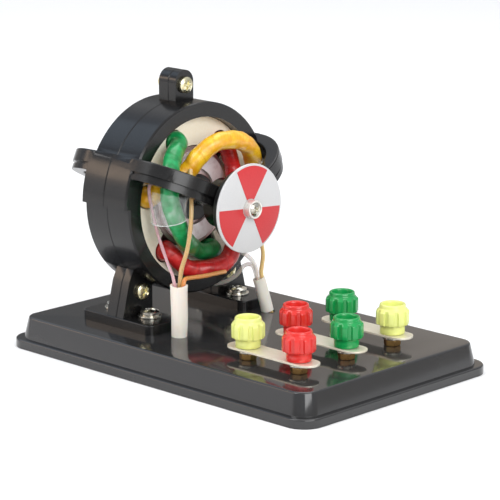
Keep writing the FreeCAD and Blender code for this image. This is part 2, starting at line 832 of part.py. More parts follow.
def disc_screw():
    """The screw in the shaft end, with its head in the boss."""
    seat_x = CARRIER_FRONT_X + DISC_THICKNESS + BOSS_LENGTH - BOSS_RECESS[1]
    head_radius, head_height = DISC_SCREW_HEAD
    screw = pan_screw(M3_RADIUS, DISC_SCREW_LENGTH, head_radius, head_height)
    return placed(screw, (seat_x, 0, AXIS_Z), V(1, 0, 0))


def clamp_screws():
    """Three screws along X through lug and legs, heads in front."""
    front_x = SEAM_X + FRONT_LUG
    length = FRONT_LUG + REAR_LUG + NUT_M4[1] + THREAD_PROUD
    screw = pan_screw(M4_RADIUS, length, *PAN_HEAD_M4)
    return Part.makeCompound([placed(screw, (front_x, y, z), V(1, 0, 0)) for y, z in clamp_places()])


def clamp_nuts():
    """The nuts of the clamp screws, behind the rear half."""
    rear_x = SEAM_X - REAR_LUG
    nut = hex_nut(NUT_M4, M4_RADIUS)
    return Part.makeCompound([placed(nut, (rear_x, y, z), V(-1, 0, 0)) for y, z in clamp_places()])


def foot_screws():
    """Four screws through the feet and the tray."""
    seat = BASE_TOP + FOOT_HEIGHT + FOOT_WASHER[1]
    low_end = TOP_UNDERSIDE - NUT_M5[1] - THREAD_PROUD
    screw = pan_screw(M5_RADIUS, seat - low_end, *PAN_HEAD_M5)
    return Part.makeCompound([placed(screw, (x, y, seat)) for x, y in foot_screw_places()])


def foot_washers():
    """A washer under each foot screw."""
    radius, thickness = FOOT_WASHER
    washer = flat_washer(radius, M5_RADIUS + SCREW_PLAY, thickness)
    return Part.makeCompound([placed(washer, (x, y, BASE_TOP + FOOT_HEIGHT)) for x, y in foot_screw_places()])


def foot_nuts():
    """The nuts of the foot screws, under the tray."""
    nut = hex_nut(NUT_M5, M5_RADIUS)
    return Part.makeCompound([placed(nut, (x, y, TOP_UNDERSIDE - NUT_M5[1])) for x, y in foot_screw_places()])


def post_studs():
    """Six threaded studs through the tray."""
    return Part.makeCompound([round_z(M4_RADIUS, x, y, STUD_FOOT, STUD_TOP) for x, y in post_places()])


def link_level():
    """The height of the underside of the link bars."""
    return BASE_TOP + NUT_M4[1] + 2 * POST_WASHER[1]


def tag_level():
    """The height of the underside of the solder tags."""
    return TOP_UNDERSIDE - POST_WASHER[1] - NUT_M4[1] - TAG_THICKNESS


def post_nuts():
    """Per stud one nut above the tray and two below, with the solder tag between these two."""
    nut = hex_nut(NUT_M4, M4_RADIUS)
    levels = (BASE_TOP, tag_level() + TAG_THICKNESS, tag_level() - NUT_M4[1])
    return Part.makeCompound([placed(nut, (x, y, z)) for x, y in post_places() for z in levels])


def post_washers():
    """Per stud two washers on the upper nut and one under the tray."""
    radius, thickness = POST_WASHER
    washer = flat_washer(radius, M4_RADIUS, thickness)
    nut_top = BASE_TOP + NUT_M4[1]
    levels = (nut_top, nut_top + thickness, TOP_UNDERSIDE - thickness)
    return Part.makeCompound([placed(washer, (x, y, z)) for x, y in post_places() for z in levels])


def solder_tags():
    """A ring tag with a tongue towards the motor under each stud."""
    tag = flat_washer(TAG_RADIUS, M4_RADIUS, TAG_THICKNESS)
    tongue = block((-TAG_LENGTH, -TAG_HALF_WIDTH, 0), (-3.6, TAG_HALF_WIDTH, TAG_THICKNESS))
    tag = tag.fuse(tongue).removeSplitter()
    return Part.makeCompound([placed(tag, (x, y, tag_level())) for x, y in post_places()])


def link_bar(y):
    """A flat link with round ends and two holes, across the two posts of a row."""
    low = link_level()
    high = low + BAR_THICKNESS
    half = BAR_WIDTH / 2
    x_low = POST_XS[0] - BAR_OVERHANG + half
    x_high = POST_XS[1] + BAR_OVERHANG - half
    bar = block((x_low, y - half, low), (x_high, y + half, high))
    for x in (x_low, x_high):
        bar = bar.fuse(round_z(half, x, y, low, high))
    for x in POST_XS:
        bar = bar.cut(round_z(M4_RADIUS + SCREW_PLAY, x, y, low - 1, high + 1))
    return bar.removeSplitter()


def screw_cap():
    """A cap on the Z axis: smooth skirt, grip with square ribs, rounded rim and a round recess."""
    rib_foot = CAP_SKIRT_HEIGHT
    rib_top = CAP_HEIGHT - CAP_RIM_HEIGHT
    outer = lathe_z([
        (0, 0),
        (CAP_SKIRT_RADIUS - 0.4, 0),
        (CAP_SKIRT_RADIUS, 0.4),
        (CAP_SKIRT_RADIUS, rib_foot),
        (CAP_RIB_RADIUS - 0.4, rib_foot),
        (CAP_RIB_RADIUS, rib_foot + 0.4),
        (CAP_RIB_RADIUS, rib_top - 1.5),
        (CAP_RIM_RADIUS + 0.2, rib_top),
        (CAP_RIM_RADIUS, rib_top),
        (CAP_RIM_RADIUS - 0.3, CAP_HEIGHT - 0.7),
        (CAP_RIM_RADIUS - 1.0, CAP_HEIGHT),
        (0, CAP_HEIGHT),
    ])
    grip = round_z(CAP_CORE_RADIUS, 0, 0, 0, CAP_HEIGHT)
    half = CAP_RIB_WIDTH / 2
    for index in range(CAP_RIB_COUNT):
        rib = block((CAP_SKIRT_RADIUS - 2, -half, 0), (CAP_RIB_RADIUS + 1, half, CAP_HEIGHT))
        rib.rotate(V(0, 0, 0), V(0, 0, 1), 360 * index / CAP_RIB_COUNT)
        grip = grip.fuse(rib)
    cap = outer.common(grip)
    recess_radius, recess_depth = CAP_RECESS
    cap = cap.cut(round_z(recess_radius, 0, 0, CAP_HEIGHT - recess_depth, CAP_HEIGHT + 1))
    return cap.cut(round_z(INSERT_RADIUS + TOUCH, 0, 0, -1, INSERT_HEIGHT + 0.1)).removeSplitter()


def cap_insert():
    """The brass core of a cap, threaded on the stud."""
    core = round_z(INSERT_RADIUS, 0, 0, 0, INSERT_HEIGHT)
    return core.cut(round_z(M4_RADIUS + TOUCH, 0, 0, -1, INSERT_HEIGHT + 1))


def left_sleeve():
    """The upright sleeve that gathers three leads, a little wider at its top."""
    low, high = SLEEVE_RADII
    body = Part.makeCone(low, high, SLEEVE_TOP - BASE_TOP)
    body = body.cut(round_z(SLEEVE_BORE, 0, 0, -1, SLEEVE_TOP))
    return placed(body, SLEEVE_AXIS + (BASE_TOP,))


def right_sleeve():
    """The tilted sleeve, cut level where it stands on the tray."""
    down = unit(TILTED_FOOT - TILTED_TOP)
    low = TILTED_FOOT + down * 3
    body = rod(TILTED_RADIUS, low, TILTED_TOP).cut(rod(TILTED_BORE, low + down, TILTED_TOP - down))
    below = block((low.x - 20, low.y - 20, BASE_TOP - 20), (low.x + 20, low.y + 20, BASE_TOP))
    return body.cut(below)


def upright_lead(angle, above, below):
    """A route through the left sleeve at one of its three places, with hand-chosen ends."""
    turn = math.radians(angle)
    x = SLEEVE_AXIS[0] + LEAD_OFFSET * math.cos(turn)
    y = SLEEVE_AXIS[1] + LEAD_OFFSET * math.sin(turn)
    points = [V(*point) for point in above]
    points.append(V(x, y, LEAD_LEVEL))
    return points + [V(point[0], point[1], LEAD_LEVEL) for point in below]


def tilted_lead(angle, above, below):
    """A route through the right sleeve at one of its three places, with hand-chosen ends."""
    along = unit(TILTED_TOP - TILTED_FOOT)
    side = unit(along.cross(V(0, 1, 0)))
    across = along.cross(side)
    turn = math.radians(angle)
    shift = (side * math.cos(turn) + across * math.sin(turn)) * LEAD_OFFSET
    top = TILTED_TOP + along * 1.5 + shift
    low = TILTED_FOOT + shift
    foot = low - along * ((low.z - LEAD_LEVEL) / along.z)
    points = [V(*point) for point in above] + [top, foot]
    return points + [V(point[0], point[1], LEAD_LEVEL) for point in below]


def tag_end(side, row):
    """The end of a solder tag's tongue, where a lead ends."""
    return (POST_XS[side] - TAG_LENGTH + 1.0, POST_YS[row])


def lead_routes():
    """Every lead's route: from its winding, through its sleeve and the tray, to its solder tag."""
    pink = upright_lead(254, [
        (-31.3, -30.1, 88.0), (-30.0, -33.8, 88.5), (-29.3, -35.4, 83.0), (-29.2, -33.0, 73.0),
        (-28.6, -30.6, 62.5), (-25.5, -30.8, 56.5), (-19.5, -32.2, 48.5), (-13.4, -33.4, 41.5),
    ], [
        (-2.0, -39.5), (9.0, -44.0), (20.0, -46.5), (33.0, -46.0), (46.0, -44.0), (54.5, -39.5),
        tag_end(1, 0),
    ])
    amber = upright_lead(134.3, [
        (-20.4, -16.3, 92.1), (-16.8, -20.0, 88.5), (-11.6, -24.2, 77.0), (-10.2, -26.5, 66.5),
        (-11.0, -28.0, 55.5), (-13.9, -30.9, 44.0),
    ], [(-6.5, -19.5), (3.0, -11.5), (15.0, -6.5), tag_end(0, 1)])
    orange = upright_lead(14.4, [
        (-18.0, 4.3, 39.1), (-16.0, -2.5, 40.0), (-14.5, -10.5, 40.6), (-13.2, -18.0, 41.4),
        (-12.2, -25.0, 42.4), (-11.15, -31.6, 43.0),
    ], [(-1.0, -34.5), (9.0, -38.0), (20.0, -39.0), tag_end(0, 0)])
    straw = tilted_lead(240, [
        (-19.3, 25.9, 54.6), (-17.2, 28.6, 50.0), (-16.8, 30.0, 43.5), (-17.1, 28.9, 37.0),
    ], [(-3.0, 34.5), (8.0, 34.0), (19.0, 30.0), tag_end(0, 2)])
    clear_front = tilted_lead(120, [
        (-19.5, 17.4, 46.2), (-17.4, 19.6, 44.4), (-17.2, 23.0, 41.0), (-17.4, 25.4, 37.0),
    ], [(-4.0, 26.0), (8.0, 17.5), (21.0, 12.0), (35.0, 9.5), (48.0, 6.5), (57.0, -0.5), tag_end(1, 1)])
    clear_rear = tilted_lead(0, [
        (-75.3, 11.6, 45.4), (-80.0, 12.5, 41.5), (-80.0, 15.0, 33.0), (-73.0, 16.8, 26.5),
        (-60.0, 17.6, 24.8), (-46.0, 18.0, 25.2), (-34.0, 19.6, 27.5), (-27.5, 22.8, 32.5),
        (-24.5, 24.0, 38.0), (-19.9, 25.8, 38.7),
    ], [
        (-17.0, 38.5), (-9.5, 43.0), (3.0, 42.5), (17.0, 39.5), (31.0, 37.0), (45.0, 36.5), (55.0, 32.5),
        tag_end(1, 2),
    ])
    return {
        "lead_pink": pink,
        "lead_amber": amber,
        "lead_orange": orange,
        "lead_straw": straw,
        "lead_clear_front": clear_front,
        "lead_clear_rear": clear_rear,
    }


def post_name(kind, side, row):
    """The name of a piece that belongs to one terminal."""
    return f"{kind}_{ROW_NAMES[row]}_{SIDE_NAMES[side]}"


def build():
    """Every node of the motor by name."""
    nodes = {
        "base_tray": base_tray(),
        "front_housing": front_housing(),
        "rear_housing": rear_housing(),
        "stator_core": stator_core(),
        "front_end_plate": front_end_plate(),
        "rear_end_plate": mirrored(front_end_plate()),
        "coil_wrap_film": coil_wrap_film(),
        "front_bush": bush(),
        "rear_bush": mirrored(bush()),
        "rotor_core": rotor_core(),
        "rotor_cage": rotor_cage(),
        "rotor_shaft": rotor_shaft(),
        "rotor_collar_front": collar(),
        "rotor_collar_rear": mirrored(collar()),
        "rear_stop_collar": rear_stop_collar(),
        "disc_carrier": disc_carrier(),
        "sector_disc": sector_disc(),
        "disc_red_sectors": disc_red_sectors(),
        "disc_boss": disc_boss(),
        "disc_screw": disc_screw(),
        "clamp_screws": clamp_screws(),
        "clamp_nuts": clamp_nuts(),
        "foot_screws": foot_screws(),
        "foot_washers": foot_washers(),
        "foot_nuts": foot_nuts(),
        "post_studs": post_studs(),
        "post_nuts": post_nuts(),
        "post_washers": post_washers(),
        "solder_tags": solder_tags(),
        "left_sleeve": left_sleeve(),
        "right_sleeve": right_sleeve(),
    }
    coils = {
        "coil_green": (GREEN_START, GREEN_STATIONS),
        "coil_yellow": (YELLOW_START, YELLOW_STATIONS),
        "coil_red": (RED_START, RED_STATIONS),
    }
    coil_wires = {}
    for name, (start, stations) in coils.items():
        nodes[name], coil_wires[name] = coil(name, start, stations)
    print_coil_gaps(coil_wires)
    for name, points in lead_routes().items():
        radius = THIN_LEAD_RADIUS if name == "lead_pink" else LEAD_RADIUS
        solid, wire, radii = tube(points, radius)
        report_tube(name, solid, wire, radii, radius)
        nodes[name] = solid
    for row, y in enumerate(POST_YS):
        nodes["link_bar_" + ROW_NAMES[row]] = link_bar(y)
        for side, x in enumerate(POST_XS):
            seat = (x, y, link_level() + BAR_THICKNESS + CAP_GAP)
            nodes[post_name("cap", side, row)] = placed(screw_cap(), seat)
            nodes[post_name("insert", side, row)] = placed(cap_insert(), seat)
    return nodes


def print_coil_gaps(wires):
    """Print the least gap of each winding to itself and to the others."""
    names = list(wires)
    for index, name in enumerate(names):
        print(f"{name}: least gap to itself {self_gap(wires[name], COIL_RADIUS, 6 * COIL_RADIUS):.2f} mm")
        for other in names[index + 1:]:
            gap = wire_gap(wires[name], wires[other], COIL_RADIUS)
            state = "clear" if gap > LEAST_GAP else "too close"
            print(f"{name} to {other}: least gap {gap:.2f} mm, {state}")


def main():
    """Build every node and write one file for each."""
    os.makedirs("parts", exist_ok=True)
    for name, shape in build().items():
        print(f"{name}: valid {shape.isValid()}, solids {len(shape.Solids)}, volume {shape.Volume:.0f}")
        shape.exportStep(f"parts/{name}.step")


main()
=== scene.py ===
# %% [markdown]
# # A demonstration motor on its tray
# The object is a small three-phase motor for the classroom. Its frame is open, so that the three
# coloured windings, the rotor and the striped disc on the shaft can be seen, and six coloured screw
# caps on the tray join the windings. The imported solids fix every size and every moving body. This
# script dresses them: each visible piece gets a fuller shape or a better finish, in the same place.

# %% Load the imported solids
import json
import math

import bmesh
import bpy
import numpy as np
from mathutils import Matrix, Vector


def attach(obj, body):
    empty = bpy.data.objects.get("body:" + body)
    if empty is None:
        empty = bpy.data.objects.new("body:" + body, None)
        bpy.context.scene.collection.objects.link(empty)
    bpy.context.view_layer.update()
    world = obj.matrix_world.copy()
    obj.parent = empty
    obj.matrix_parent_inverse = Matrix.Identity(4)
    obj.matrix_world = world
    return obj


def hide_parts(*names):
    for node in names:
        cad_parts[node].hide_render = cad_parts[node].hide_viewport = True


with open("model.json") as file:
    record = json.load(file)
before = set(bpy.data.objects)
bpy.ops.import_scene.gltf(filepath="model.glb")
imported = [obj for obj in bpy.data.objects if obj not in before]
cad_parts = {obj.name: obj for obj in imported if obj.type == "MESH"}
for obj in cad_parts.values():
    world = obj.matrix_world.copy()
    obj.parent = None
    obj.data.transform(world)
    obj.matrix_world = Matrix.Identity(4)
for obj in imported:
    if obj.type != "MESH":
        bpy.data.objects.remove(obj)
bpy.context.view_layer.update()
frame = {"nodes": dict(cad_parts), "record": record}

MM = 0.001
TURN = 2 * math.pi
UP = (0, 0, 1)
ALONG = (1, 0, 0)
node_body = {node: body for body, nodes in frame["record"]["behaviour"]["bodies"].items() for node in nodes}
node_slot = {part["node"]: part["material_slot"] for part in frame["record"]["subparts"]}

# %% [markdown]
# ## How a surface becomes a mesh
# Nearly every piece here is a grid of points: rows run along the piece and columns run round it. A
# grid could be typed in point by point or pulled out of a cube by hand, but a formula on whole
# arrays is shorter and can be changed later. One helper turns a grid into squares, makes sure that
# they face outwards, and carries marks along, two numbers per corner that a finish can read.

# %% Patches: a grid of points and its squares
def patch(points, wrap_rows=False, wrap_columns=True, caps=False, along=None, around=None):
    """A grid of points in millimetres as corners, faces and marks.

    Each point is joined to its neighbour in the next row and the next column. The signed volume,
    the sum of a . (b x c) over the faces, is negative where they look inwards, and then they are
    turned over.
    """
    rows, columns = points.shape[:2]
    index = np.arange(rows * columns).reshape(rows, columns)
    next_row = np.roll(index, -1, axis=0)
    squares = np.stack([index, np.roll(index, -1, axis=1), np.roll(next_row, -1, axis=1), next_row], axis=-1)
    squares = squares[:rows if wrap_rows else -1, :columns if wrap_columns else -1]
    along = np.arange(rows + 1.0) if along is None else along
    around = np.arange(columns + 1.0) / columns if around is None else around
    i, j = np.meshgrid(np.arange(squares.shape[0]), np.arange(squares.shape[1]), indexing="ij")
    marks = np.stack([
        np.stack([along[i], along[i], along[i + 1], along[i + 1]], axis=-1),
        np.stack([around[j], around[j + 1], around[j + 1], around[j]], axis=-1),
    ], axis=-1)
    squares = squares.reshape(-1, 4)
    marks = marks.reshape(-1, 4, 2)
    corners = points.reshape(-1, 3)
    a, b, c, d = np.moveaxis(corners[squares] - corners.mean(axis=0), 1, 0)
    volume = np.sum(a * np.cross(b, c)) + np.sum(a * np.cross(c, d))
    first = np.arange(columns)
    ends = [first[::-1], first + (rows - 1) * columns] if caps else []
    if volume < 0:
        squares = squares[:, ::-1]
        marks = marks[:, ::-1]
        ends = [end[::-1] for end in ends]
    faces = squares.tolist() + [end.tolist() for end in ends]
    marks = np.concatenate([marks.reshape(-1, 2)] + [np.zeros((columns, 2)) for _ in ends])
    return corners, faces, marks


def shown(name, mesh, finish, crease):
    """Puts a mesh in the scene, smooth but for the edges that are sharper than the crease."""
    mesh.materials.clear()
    mesh.materials.append(finish)
    mesh.polygons.foreach_set("use_smooth", np.ones(len(mesh.polygons), bool))
    mesh.set_sharp_from_angle(angle=math.radians(crease))
    made = bpy.data.objects.new(name, mesh)
    bpy.context.scene.collection.objects.link(made)
    return made


def piece(name, patches, finish, crease=40):
    """One object from several patches, with doubles merged."""
    corners, squares, marks = zip(*patches)
    starts = np.cumsum([0] + [len(part) for part in corners]).tolist()
    faces = [[corner + start for corner in face] for start, part in zip(starts, squares) for face in part]
    mesh = bpy.data.meshes.new(name)
    mesh.from_pydata((np.concatenate(corners) * MM).tolist(), [], faces)
    mesh.uv_layers.new(name="marks").data.foreach_set("uv", np.concatenate(marks).ravel())
    shell = bmesh.new()
    shell.from_mesh(mesh)
    bmesh.ops.remove_doubles(shell, verts=shell.verts, dist=2e-7)
    shell.to_mesh(mesh)
    shell.free()
    return shown(name, mesh, finish, crease)


def stands_for(made, node):
    """The piece takes the place of a solid: it rides on its body and hides it."""
    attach(made, node_body[node])
    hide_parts(node)
    size = np.ptp(np.array(made.bound_box), axis=0) / MM
    print(f"{made.name}: {len(made.data.polygons)} faces, {size.round(1).tolist()} mm")


def dressed(node, name, patches, finish, crease=40):
    """A piece made of patches, in the place of a solid."""
    stands_for(piece(name, patches, finish, crease), node)

# %% [markdown]
# ## Curves that the surfaces follow
# A profile of straight lines looks machined from cardboard, because real edges are always a little
# round. Instead of a Bevel on every piece, each corner of a profile is swapped for a short curve
# before the surface is made. A lead or a winding bends along its whole length, so its line is a
# NURBS spline drawn by Blender itself, and a ring of points is carried along it.

# %% Eased corners and smooth lines
def eased(corners, reach, steps=5, closed=False):
    """Swaps each corner for the parabola between two points, one reach before it and one after it.

    The reach is cut to half of the shorter side beside the corner, so that curves never overlap.
    """
    corners = np.asarray(corners, float)
    before = np.roll(corners, 1, axis=0)
    after = np.roll(corners, -1, axis=0)
    side_in = np.linalg.norm(corners - before, axis=1, keepdims=True)
    side_out = np.linalg.norm(after - corners, axis=1, keepdims=True)
    reach = np.minimum(reach, 0.48 * np.minimum(side_in, side_out))
    start = corners + (before - corners) * reach / side_in
    end = corners + (after - corners) * reach / side_out
    t = np.linspace(0, 1, steps)[None, :, None]
    curves = (1 - t) ** 2 * start[:, None] + 2 * t * (1 - t) * corners[:, None] + t ** 2 * end[:, None]
    if closed:
        return curves.reshape(-1, corners.shape[1])
    inner = curves[1:-1].reshape(-1, corners.shape[1])
    return np.concatenate([corners[:1], inner, corners[-1:]])


def smooth_line(corners, count, closed=False):
    """Points at even steps along the NURBS spline that has these corners as its control points.

    Blender turns the spline into a mesh line. Its length is added up from point to point, and each
    coordinate is read off against it.
    """
    curve = bpy.data.curves.new("line", "CURVE")
    curve.dimensions = "3D"
    spline = curve.splines.new("NURBS")
    spline.points.add(len(corners) - 1)
    spline.points.foreach_set("co", np.column_stack([corners, np.ones(len(corners))]).ravel())
    spline.order_u = 3
    spline.use_endpoint_u = not closed
    spline.use_cyclic_u = closed
    spline.resolution_u = 24
    holder = bpy.data.objects.new("line", curve)
    drawn = bpy.data.meshes.new_from_object(holder)
    path = np.zeros(3 * len(drawn.vertices))
    drawn.vertices.foreach_get("co", path)
    path = path.reshape(-1, 3)
    bpy.data.objects.remove(holder)
    bpy.data.curves.remove(curve)
    bpy.data.meshes.remove(drawn)
    path = np.concatenate([path, path[:1]]) if closed else path
    lengths = np.concatenate([[0], np.cumsum(np.linalg.norm(np.diff(path, axis=0), axis=1))])
    wanted = np.linspace(0, lengths[-1], count + 1 if closed else count)
    return np.stack([np.interp(wanted, lengths, path[:, k]) for k in range(3)], axis=1)[:count], lengths[-1]


# %% Turned and swept grids
def around_circle(steps):
    """Angles at even steps once round, as a column."""
    return np.linspace(0, TURN, steps, endpoint=False)[:, None]


def ramp(value, start, end):
    """0 up to the start, 1 from the end on and even between. The start may be the larger one."""
    return np.clip((value - start) / (end - start), 0, 1)


def turned(profile, centre, axis, steps=96, swell=None):
    """Pairs of radius and height carried round an axis.

    point = centre + height * axis + radius * (side * cos(turn) + across * sin(turn)). A swell may
    change radius and height with the turn, as for ribs, threads and recesses.
    """
    axis = np.array(axis, float)
    side = np.cross(axis, (0.0, 1.0, 0.0))
    side /= np.linalg.norm(side)
    across = np.cross(axis, side)
    turn = around_circle(steps)
    radius, height = (np.repeat(profile[None, :, k], steps, axis=0) for k in (0, 1))
    if swell:
        radius, height = swell(turn, radius, height)
    ring = side * np.cos(turn)[..., None] + across * np.sin(turn)[..., None]
    return np.array(centre, float) + height[..., None] * axis + radius[..., None] * ring


def round_patch(profile, centre, axis, steps=96, swell=None, hollow=False):
    """A turned patch. A hollow profile is a closed loop, any other one starts and ends on the axis."""
    return patch(turned(profile, centre, axis, steps, swell), wrap_rows=True, wrap_columns=hollow)


def swept(path, radius, columns=24, reference=None, closed=False):
    """A ring round each station: centre + radius * (side * cos(turn) + across * sin(turn)).

    side is square to the path and to a reference direction. For a free curve the reference is the
    direction, out of many spread over a ball, that the path never comes near.
    """
    tangent = np.roll(path, -1, axis=0) - np.roll(path, 1, axis=0) if closed else np.gradient(path, axis=0)
    tangent /= np.linalg.norm(tangent, axis=1, keepdims=True)
    if reference is None:
        k = np.arange(200)
        height = 1 - 2 * (k + 0.5) / len(k)
        spiral = k * math.pi * (3 - math.sqrt(5))
        flat = np.sqrt(1 - height ** 2)
        ball = np.stack([flat * np.cos(spiral), flat * np.sin(spiral), height], axis=1)
        reference = ball[np.abs(ball @ tangent.T).max(axis=1).argmin()]
    side = np.cross(tangent, reference)
    side /= np.linalg.norm(side, axis=1, keepdims=True)
    across = np.cross(tangent, side)
    turn = around_circle(columns)
    ring = side[:, None] * np.cos(turn) + across[:, None] * np.sin(turn)
    radius = np.broadcast_to(radius, ring.shape[:2])
    return path[:, None] + ring * radius[..., None]

# %% [markdown]
# ## Arithmetic on sockets
# Node trees are easy to draw and hard to read back, so here a finish is written as a formula. A
# small class wraps an output socket and overloads the operators, and 0.5 + grain then adds a Math
# node by itself. Colours never go through Math, which would turn them grey, but through Mix.

# %% Signals and finishes
def feed(place, value):
    """Links a signal to an input socket, or sets a plain value on it."""
    if isinstance(value, Signal):
        place.id_data.links.new(value.socket, place)
    else:
        place.default_value = value


class Signal:
    """An output socket that takes part in sums: each operator adds one Math node."""

    def __init__(self, socket):
        self.socket = socket

    def sum(self, operation, first, second):
        """A Math node with its two terms."""
        node = self.socket.id_data.nodes.new("ShaderNodeMath")
        node.operation = operation
        feed(node.inputs[0], first)
        feed(node.inputs[1], second)
        return Signal(node.outputs[0])

    def __add__(self, other):
        return self.sum("ADD", self, other)

    def __sub__(self, other):
        return self.sum("SUBTRACT", self, other)

    def __mul__(self, other):
        return self.sum("MULTIPLY", self, other)

    __radd__ = __add__
    __rmul__ = __mul__


class Nodes:
    """A node tree that is being filled, for a finish or for the sky."""

    def __init__(self, tree):
        self.tree = tree

    def node(self, kind, settings, values, output=0):
        """Any node: its settings first, then the values or signals of its sockets."""
        node = self.tree.nodes.new(kind)
        for name, value in settings.items():
            setattr(node, name, value)
        for name, value in values.items():
            feed(node.inputs[name], value)
        return Signal(node.outputs[output])

    def maths(self, operation, signal):
        """A Math node with one term, such as a sine."""
        return self.node("ShaderNodeMath", {"operation": operation}, {0: signal})

    def noise(self, place, scale, detail, rough=0.6):
        """Noise between 0 and 1 on these coordinates."""
        return self.node("ShaderNodeTexNoise", {}, {
            "Vector": place, "Scale": scale, "Detail": detail, "Roughness": rough})

    def step(self, signal, low, high):
        """0 below low, 1 above high and a smooth rise between."""
        return self.node("ShaderNodeMapRange", {"interpolation_type": "SMOOTHSTEP"}, {
            "Value": signal, "From Min": low, "From Max": high})

    def blend(self, share, first, second):
        """A colour between two colours."""
        return self.node("ShaderNodeMix", {"data_type": "RGBA"}, {0: share, 6: first, 7: second}, 2)


class Finish(Nodes):
    """A material being made: its nodes, its shader and the object's own coordinates."""

    def __init__(self, name, constants):
        self.material = bpy.data.materials.new(name)
        self.material.use_nodes = True
        super().__init__(self.material.node_tree)
        self.shader = self.tree.nodes["Principled BSDF"]
        self.paint(constants)
        self.place = self.node("ShaderNodeTexCoord", {}, {}, "Object")

    def stretched(self, scale, turn=(0, 0, 0), place=None):
        """Coordinates scaled and turned, so that a pattern runs long in one direction."""
        return self.node("ShaderNodeMapping", {}, {
            "Vector": place or self.place, "Scale": scale, "Rotation": turn})

    def grain(self, size, detail, place=None):
        """Soft noise between 0 and 1 whose patches are about size millimetres across."""
        return self.noise(place or self.place, 1 / (size * MM), detail, 0.55)

    def marks(self):
        """The two marks that each corner of a patch carries."""
        return self.node("ShaderNodeUVMap", {"uv_map": "marks"}, {}, "UV")

    def facing(self, blend):
        """0 where the surface looks at the eye and 1 where it turns away."""
        return self.node("ShaderNodeLayerWeight", {}, {"Blend": blend}, "Facing")

    def relief(self, height, depth=1.0):
        """Light and shade of a surface that rises by depth millimetres where the height is 1."""
        return self.node("ShaderNodeBump", {}, {"Height": height, "Distance": depth * MM, "Strength": 1.0})

    def axis(self, letter, place=None):
        """One coordinate on its own."""
        return self.node("ShaderNodeSeparateXYZ", {}, {"Vector": place or self.place}, letter)

    def paint(self, values):
        """Feeds the shader's own sockets."""
        for name, value in values.items():
            feed(self.shader.inputs[name], value)
        return self.material


def shade(red, green, blue):
    """A colour given as on a screen, 0 to 255, as the light that Blender works with."""
    screen = np.array([red, green, blue]) / 255
    light = np.where(screen < 0.04045, screen / 12.92, ((screen + 0.055) / 1.055) ** 2.4)
    return tuple(light.tolist()) + (1.0,)

# %% [markdown]
# ## Moulded plastic
# Tray, frame and caps come out of polished moulds. Such a surface isn't a perfect mirror: it sinks
# a little over thick places, it has a very fine grain, and handling leaves dull patches and dust.
# Noise of three sizes gives these, through the normal and the roughness more than the colour.

# %% Moulded plastics
def moulded(name, colour, dull, gloss, ripple=0.01, grain=0.0015, dust=0.25, shine=0.5):
    """Dyed plastic with slow ripples, a fine grain, dull patches and a little dust."""
    finish = Finish(name, {"IOR": 1.49, "Coat Roughness": 0.06, "Coat IOR": 1.45, "Coat Weight": gloss,
                           "Specular IOR Level": shine})
    patches = finish.grain(14, 3)
    fine = finish.grain(0.4, 3)
    motes = finish.step(finish.grain(0.55, 4), 0.66, 0.74) * finish.step(patches, 0.35, 0.7)
    pale = tuple(0.78 * value + 0.07 for value in colour[:3]) + (1.0,)
    slow = finish.grain(9, 1)
    return finish.paint({
        "Base Color": finish.blend(motes * dust, colour, pale),
        "Roughness": dull + 0.10 * (patches - 0.5) + 0.14 * motes + 0.05 * (fine - 0.5),
        "Normal": finish.relief(slow * ripple + fine * grain),
    })


tray_black = moulded("tray_black", (0.024, 0.0238, 0.0245, 1), 0.12, 0.25, ripple=0.012)
frame_black = moulded("frame_black", (0.0065, 0.0062, 0.0063, 1), 0.24, 0.12, 0.04, 0.003, shine=0.4)
part_black = moulded("part_black", (0.012, 0.012, 0.012, 1), 0.38, 0.0, grain=0.005)
cap_finish = {
    colour: moulded("cap_" + colour, shade(*screen), 0.24, 0.3, ripple=0.03, dust=0.1)
    for colour, screen in (("yellow", (222, 227, 132)), ("red", (212, 44, 38)), ("green", (12, 146, 72)))
}
print("moulded:", tray_black.name, frame_black.name, part_black.name, "and caps in", list(cap_finish))

# %% [markdown]
# ## Metals
# Plated screws, brass nuts, tinned links and ground steel differ in colour, in the run of their
# scratches and in how blotchy the plating is. One family takes these as values. The scratches are
# noise stretched long in one direction, which is cheaper than drawing lines.

# %% Metals
def metal(name, colour, tarnish, dull, scratches=(900, 900, 60), blotch=4.0, depth=0.004, bare=1.0):
    """Bare or plated metal: blotches of tarnish, and scratches as noise stretched along one axis."""
    finish = Finish(name, {"Metallic": bare})
    lines = finish.noise(finish.stretched(scratches), 1.0, 3.0)
    worn = finish.step(finish.grain(blotch, 4), 0.45, 0.75)
    return finish.paint({
        "Base Color": finish.blend(worn * 0.7, shade(*colour), shade(*tarnish)),
        "Roughness": dull + 0.18 * (lines - 0.5) + 0.16 * worn,
        "Normal": finish.relief(lines, depth),
    })


fine_grind = (500, 500, 500)
cast_grain = (300, 300, 300)
screw_steel = metal("screw_steel", (222, 219, 208), (168, 160, 146), 0.20)
screw_zinc = metal("screw_zinc", (232, 226, 190), (196, 158, 88), 0.26, blotch=2.0)
brass = metal("brass", (196, 154, 96), (118, 78, 48), 0.3, blotch=2.5)
link_metal = metal("link_metal", (236, 230, 212), (214, 204, 180), 0.32, (60, 1400, 900), 7.0, bare=0.5)
shaft_steel = metal("shaft_steel", (200, 200, 202), (120, 116, 112), 0.24, (2200, 90, 90))
boss_plating = metal("boss_plating", (236, 234, 228), (196, 188, 178), 0.42, fine_grind, 1.4, bare=0.6)
bush_bronze = metal("bush_bronze", (176, 128, 84), (96, 66, 44), 0.42, fine_grind, 1.2)
cage_aluminium = metal("cage_aluminium", (248, 242, 242), (222, 208, 210), 0.42, cast_grain, 3.0, 0.01, 0.5)
print("metals:", screw_steel.name, screw_zinc.name, brass.name, link_metal.name)

